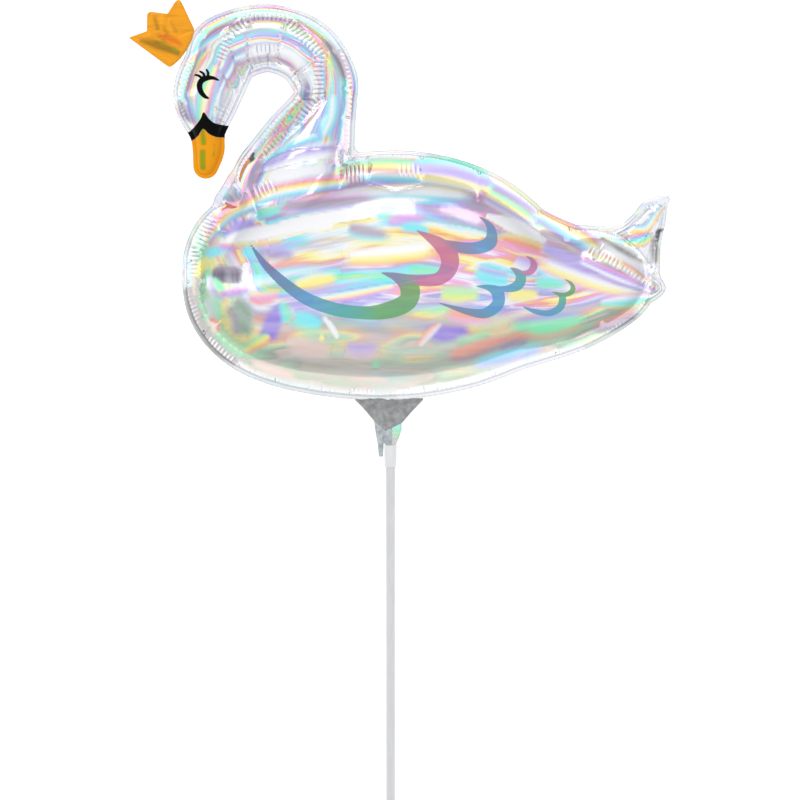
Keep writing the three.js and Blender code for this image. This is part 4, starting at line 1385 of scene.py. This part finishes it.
class SWAN_OT_film(bpy.types.Operator):
    """Makes the air-filled film of the swan: body, neck, head and tail, with its print"""

    bl_idname = "swan.film"
    bl_label = "Balloon film"

    def execute(self, context):
        sizes, colours = context.scene.swan_sizes, context.scene.swan_colours
        margin, thickness = sizes.seam_margin, sizes.film_thickness
        loop, flat, faces = film_plan(sizes)
        depth = -outline(flat)
        seam = KDTree(len(loop))
        for k, point in enumerate(loop):
            seam.insert((*point, 0), k)
        seam.balance()
        nearest = np.array([seam.find((*point, 0))[1] for point in flat])
        along = nearest * sizes.rim_spacing
        strip = np.clip(1 - depth / margin, 0, 1)
        wave = np.sin(along / WELD_WAVES[0]) * np.sin(along / WELD_WAVES[1] + 1)
        lift = sizes.seam_wave * strip * wave
        half = np.where(depth > margin, swell(flat, margin, thickness), thickness / 2)
        feather_gap, feather_tint = stroke_tints(flat, colours)
        glint, glint_hold = painted_glints(flat, colours)
        streak_gap = np.min([gap(swept(line, 8), flat) for line in BILL_PAINTED_GLINTS], axis=0)
        black_gap, bill_gap = face_print(flat)
        folds = np.zeros(len(flat))
        for lines, width, most, fading in (
            (NECK_FOLDS, 0.8, 1, True), (BODY_FOLDS, 1, 1, True), (TAIL_FOLDS, 0.8, 0.3, True),
            (PANEL_EDGES, 0.7, 0.35, False),
        ):
            strength = most * fold_strength(lines, width * sizes.fold_width, flat, fading)
            folds = np.maximum(folds, strength)
        band_turn, band_hold = rib_bands(sizes.rib_pitch, flat)
        piece = two_faced(
            "swan_film", flat, faces, half + lift, -np.minimum(half, REST_HEIGHT) + lift,
            (
                ("seam_along", along), ("seam_depth", depth), ("fold", folds),
                ("rib_reach", rib_reach(loop)[nearest]),
                ("band_turn", band_turn), ("band_hold", band_hold),
                ("feather_gap", feather_gap), ("feather_tint", feather_tint),
                ("black_gap", black_gap), ("bill_gap", bill_gap), ("streak_gap", streak_gap),
                ("flow", flow(flat, margin)), ("glint", glint), ("glint_hold", glint_hold),
            ),
        )
        tree = pleats_tree(holographic_film(colours, printed=True))
        through_nodes(
            piece, tree,
            {
                "Rib pitch": sizes.rib_pitch, "Rib depth": sizes.rib_depth,
                "Fold depth": sizes.fold_depth, "Seam margin": margin,
            },
        )
        keep_piece(piece, "balloon", mirrored=True)
        return {"FINISHED"}


class SWAN_OT_crown(bpy.types.Operator):
    """Makes the folded gold crown on the back of the head"""

    bl_idname = "swan.crown"
    bl_label = "Crown"

    def execute(self, context):
        sizes, colours = context.scene.swan_sizes, context.scene.swan_colours
        border = rounded(CROWN_OUTLINE)
        flat, faces = sheet_plan(border, CROWN_SPACING)
        depth = np.clip(-polygon_gap(border, flat), 0, None)
        folds = fold_strength(CROWN_FOLDS, CROWN_FOLD_WIDTH, flat)
        puff = np.clip(depth / CROWN_SLOPE, 0, 1) ** 0.6 * (1 - 0.75 * folds)
        half = sizes.film_thickness + (sizes.crown_rise - sizes.film_thickness) * puff
        # The gold, under patches of painted shade, a painted glow and painted green reflections.
        tint = np.tile(np.array(colours.gold), (len(flat), 1))
        for colour, share, line in CROWN_PAINTED_LIGHT:
            hold = share * np.clip(0.5 - stroke_place(line, flat)[0] / PATCH_SOFTNESS, 0, 1)
            tint = tint + (np.array(getattr(colours, colour)) - tint) * hold[:, None]
        piece = two_faced("gold_crown", flat, faces, half, -half, (("crown_tint", tint),))
        piece.data.materials.append(gold_film(colours))
        keep_piece(piece, "balloon")
        return {"FINISHED"}


class SWAN_OT_filling_film(bpy.types.Operator):
    """Makes the folded film between the belly and the collar"""

    bl_idname = "swan.filling_film"
    bl_label = "Filling film"

    def execute(self, context):
        sizes, colours = context.scene.swan_sizes, context.scene.swan_colours
        skirt = matt_film("Cast polyethylene film, skirt", colours.skirt)
        panel = matt_film("Cast polyethylene film, panel", colours.panel)
        foil = holographic_film(colours, printed=False)
        thickness = sizes.skirt_thickness
        for name, border, lift, material in (
            ("film_skirt", SKIRT_OUTLINE, -0.2 * MM, skirt),
            ("film_strip", STRIP_OUTLINE, -0.9 * MM, panel),
            ("film_panel", PANEL_OUTLINE, -0.6 * MM, panel),
            ("film_fold", FOLD_OUTLINE, -1.0 * MM, foil),
        ):
            piece = self.folded_sheet(name, np.array(border) * MM, thickness, lift)
            piece.data.materials.append(material)
            keep_piece(piece, "balloon")
        return {"FINISHED"}

    def folded_sheet(self, name, border, thickness, lift):
        flat, faces = sheet_plan(border, SHEET_SPACING)
        depth = np.clip(-polygon_gap(border, flat), 0, None)
        round_edge = np.sqrt(np.clip(depth / thickness, 0.04, 1))
        broad, fine = (
            np.array([noise.noise(Vector((*point, k)) / width) for point in flat])
            for k, width in enumerate(SHEET_CRINKLES)
        )
        crinkle = broad + 0.5 * fine
        half = thickness / 2 * round_edge
        wave = lift + 0.3 * MM * crinkle
        down = -flat[:, 1] / (100 * MM)
        # The rainbow fold goes from cyan at its top to beige at its foot: painted reflections in
        # the film's own holographic colours.
        colours = bpy.context.scene.swan_colours
        glint = blended_colours(colours, ("cyan", "mint", "beige"), SHEET_RAINBOW, -flat[:, 1])
        values = (
            ("flow", np.column_stack([down, down, np.ones(len(flat))])),
            ("seam_depth", np.full(len(flat), 20 * MM)),
            ("glint", glint), ("glint_hold", np.full(len(flat), 0.8)),
        )
        piece = two_faced(name, flat, faces, wave + half, wave - half, values)
        bend_down(piece.data)
        piece.data.attributes.new("tilt", "FLOAT_VECTOR", "POINT").data.foreach_set(
            "vector", np.ravel([vertex.normal for vertex in piece.data.vertices])
        )
        return piece


def droop():
    """The angle by which the filling end bends down, so that the stick's end meets the ground."""
    sizes = bpy.context.scene.swan_sizes
    end, radius = STICK_TOP + sizes.stick_length, sizes.stick_diameter / 2
    return math.asin(REST_HEIGHT / math.hypot(end, radius)) - math.atan2(radius, end)


def bend_frame():
    """The turn and shift that put what is made along -Y onto the drooping line of the stick."""
    return Matrix.Translation(BEND) @ Matrix.Rotation(droop(), 4, "X")


def bend_down(mesh):
    """Turns the part of a sheet below the bend down to the stick's line."""
    drooping = bend_frame()
    for vertex in mesh.vertices:
        below = vertex.co - BEND
        if below.y < 0:
            vertex.co = drooping @ below


def tube_tree(material):
    """A hollow tube with rounded rims: a wall section swept round a circle."""
    tree = new_tree("moulded_tube", "Piece", ("Outer diameter", "Wall", "Length", "Edge rounding"))
    given = add(tree, "NodeGroupInput").outputs
    outer = add(tree, "ShaderNodeMath", {0: given["Outer diameter"], 1: 0.5}, operation="MULTIPLY")
    middle = add(
        tree, "ShaderNodeMath", {0: given["Wall"], 1: -0.5, 2: outer}, operation="MULTIPLY_ADD"
    )
    ring = add(tree, "GeometryNodeCurvePrimitiveCircle", {"Resolution": 48, "Radius": middle})
    section = add(
        tree, "GeometryNodeCurvePrimitiveQuadrilateral",
        {"Width": given["Wall"], "Height": given["Length"]},
    )
    soft_edged = add(
        tree, "GeometryNodeFilletCurve",
        {"Curve": section, "Radius": given["Edge rounding"], "Count": 3}, mode="POLY",
    )
    tube = add(tree, "GeometryNodeCurveToMesh", {"Curve": ring, "Profile Curve": soft_edged})
    real = add(tree, "GeometryNodeRealizeInstances", {"Geometry": tube})
    dressed = add(tree, "GeometryNodeSetMaterial", {"Geometry": real, "Material": material})
    add(tree, "NodeGroupOutput", {"Piece": dressed})
    return tree


def add_tube(name, material, outer, wall, long, start):
    """Makes a tube along the stick's line, from its start down the stick."""
    piece = linked(name, bpy.data.meshes.new(name))
    through_nodes(
        piece, tube_tree(material),
        {
            "Outer diameter": outer, "Wall": wall, "Length": long,
            "Edge rounding": bpy.context.scene.swan_sizes.edge_round,
        },
    )
    middle = Matrix.Translation((0, -(start + long / 2), 0))
    piece.data.transform(bend_frame() @ middle @ Matrix.Rotation(math.pi / 2, 4, "X"))
    shell = bmesh.new()
    shell.from_mesh(piece.data)
    bmesh.ops.recalc_face_normals(shell, faces=shell.faces)
    shell.to_mesh(piece.data)
    shell.free()
    return piece


class SWAN_OT_collar(bpy.types.Operator):
    """Makes the milky collar that holds the film on the stick"""

    bl_idname = "swan.collar"
    bl_label = "Collar"

    def execute(self, context):
        sizes, colours = context.scene.swan_sizes, context.scene.swan_colours
        plastic = moulded_plastic("Moulded polypropylene, milky", colours.collar, 0.12)
        outer = sizes.collar_bore + 2 * sizes.collar_wall
        piece = add_tube(
            "stick_collar", plastic, outer, sizes.collar_wall, sizes.collar_length, COLLAR_TOP
        )
        keep_piece(piece, "collar")
        return {"FINISHED"}


class SWAN_OT_stick(bpy.types.Operator):
    """Makes the hollow white stick"""

    bl_idname = "swan.stick"
    bl_label = "Stick"

    def execute(self, context):
        sizes, colours = context.scene.swan_sizes, context.scene.swan_colours
        plastic = moulded_plastic("Extruded polypropylene, white", colours.stick, 0.0)
        piece = add_tube(
            "white_stick", plastic, sizes.stick_diameter, sizes.stick_wall, sizes.stick_length,
            STICK_TOP,
        )
        keep_piece(piece, "stick")
        return {"FINISHED"}


OPERATORS = (
    SWAN_OT_stage, SWAN_OT_film, SWAN_OT_crown, SWAN_OT_filling_film, SWAN_OT_collar, SWAN_OT_stick,
)


class SWAN_PT_sidebar(bpy.types.Panel):
    """Lists the pieces of the swan balloon and their sizes and colours"""

    bl_idname = "SWAN_PT_sidebar"
    bl_label = "Swan balloon"
    bl_space_type = "VIEW_3D"
    bl_region_type = "UI"
    bl_category = "Swan balloon"

    def draw(self, context):
        for operator in OPERATORS:
            self.layout.operator(operator.bl_idname)
        for group in (context.scene.swan_sizes, context.scene.swan_colours):
            box = self.layout.box()
            for name in group.__annotations__:
                box.prop(group, name)


CLASSES = (SwanSizes, SwanColours, *OPERATORS, SWAN_PT_sidebar)


def register():
    for kind in CLASSES:
        bpy.utils.register_class(kind)
    bpy.types.Scene.swan_sizes = bpy.props.PointerProperty(type=SwanSizes)
    bpy.types.Scene.swan_colours = bpy.props.PointerProperty(type=SwanColours)


def unregister():
    del bpy.types.Scene.swan_colours
    del bpy.types.Scene.swan_sizes
    for kind in reversed(CLASSES):
        bpy.utils.unregister_class(kind)


def main():
    register()
    bpy.ops.swan.stage()
    bpy.ops.swan.film()
    bpy.ops.swan.crown()
    bpy.ops.swan.filling_film()
    bpy.ops.swan.collar()
    bpy.ops.swan.stick()


if __name__ == "__main__":
    main()
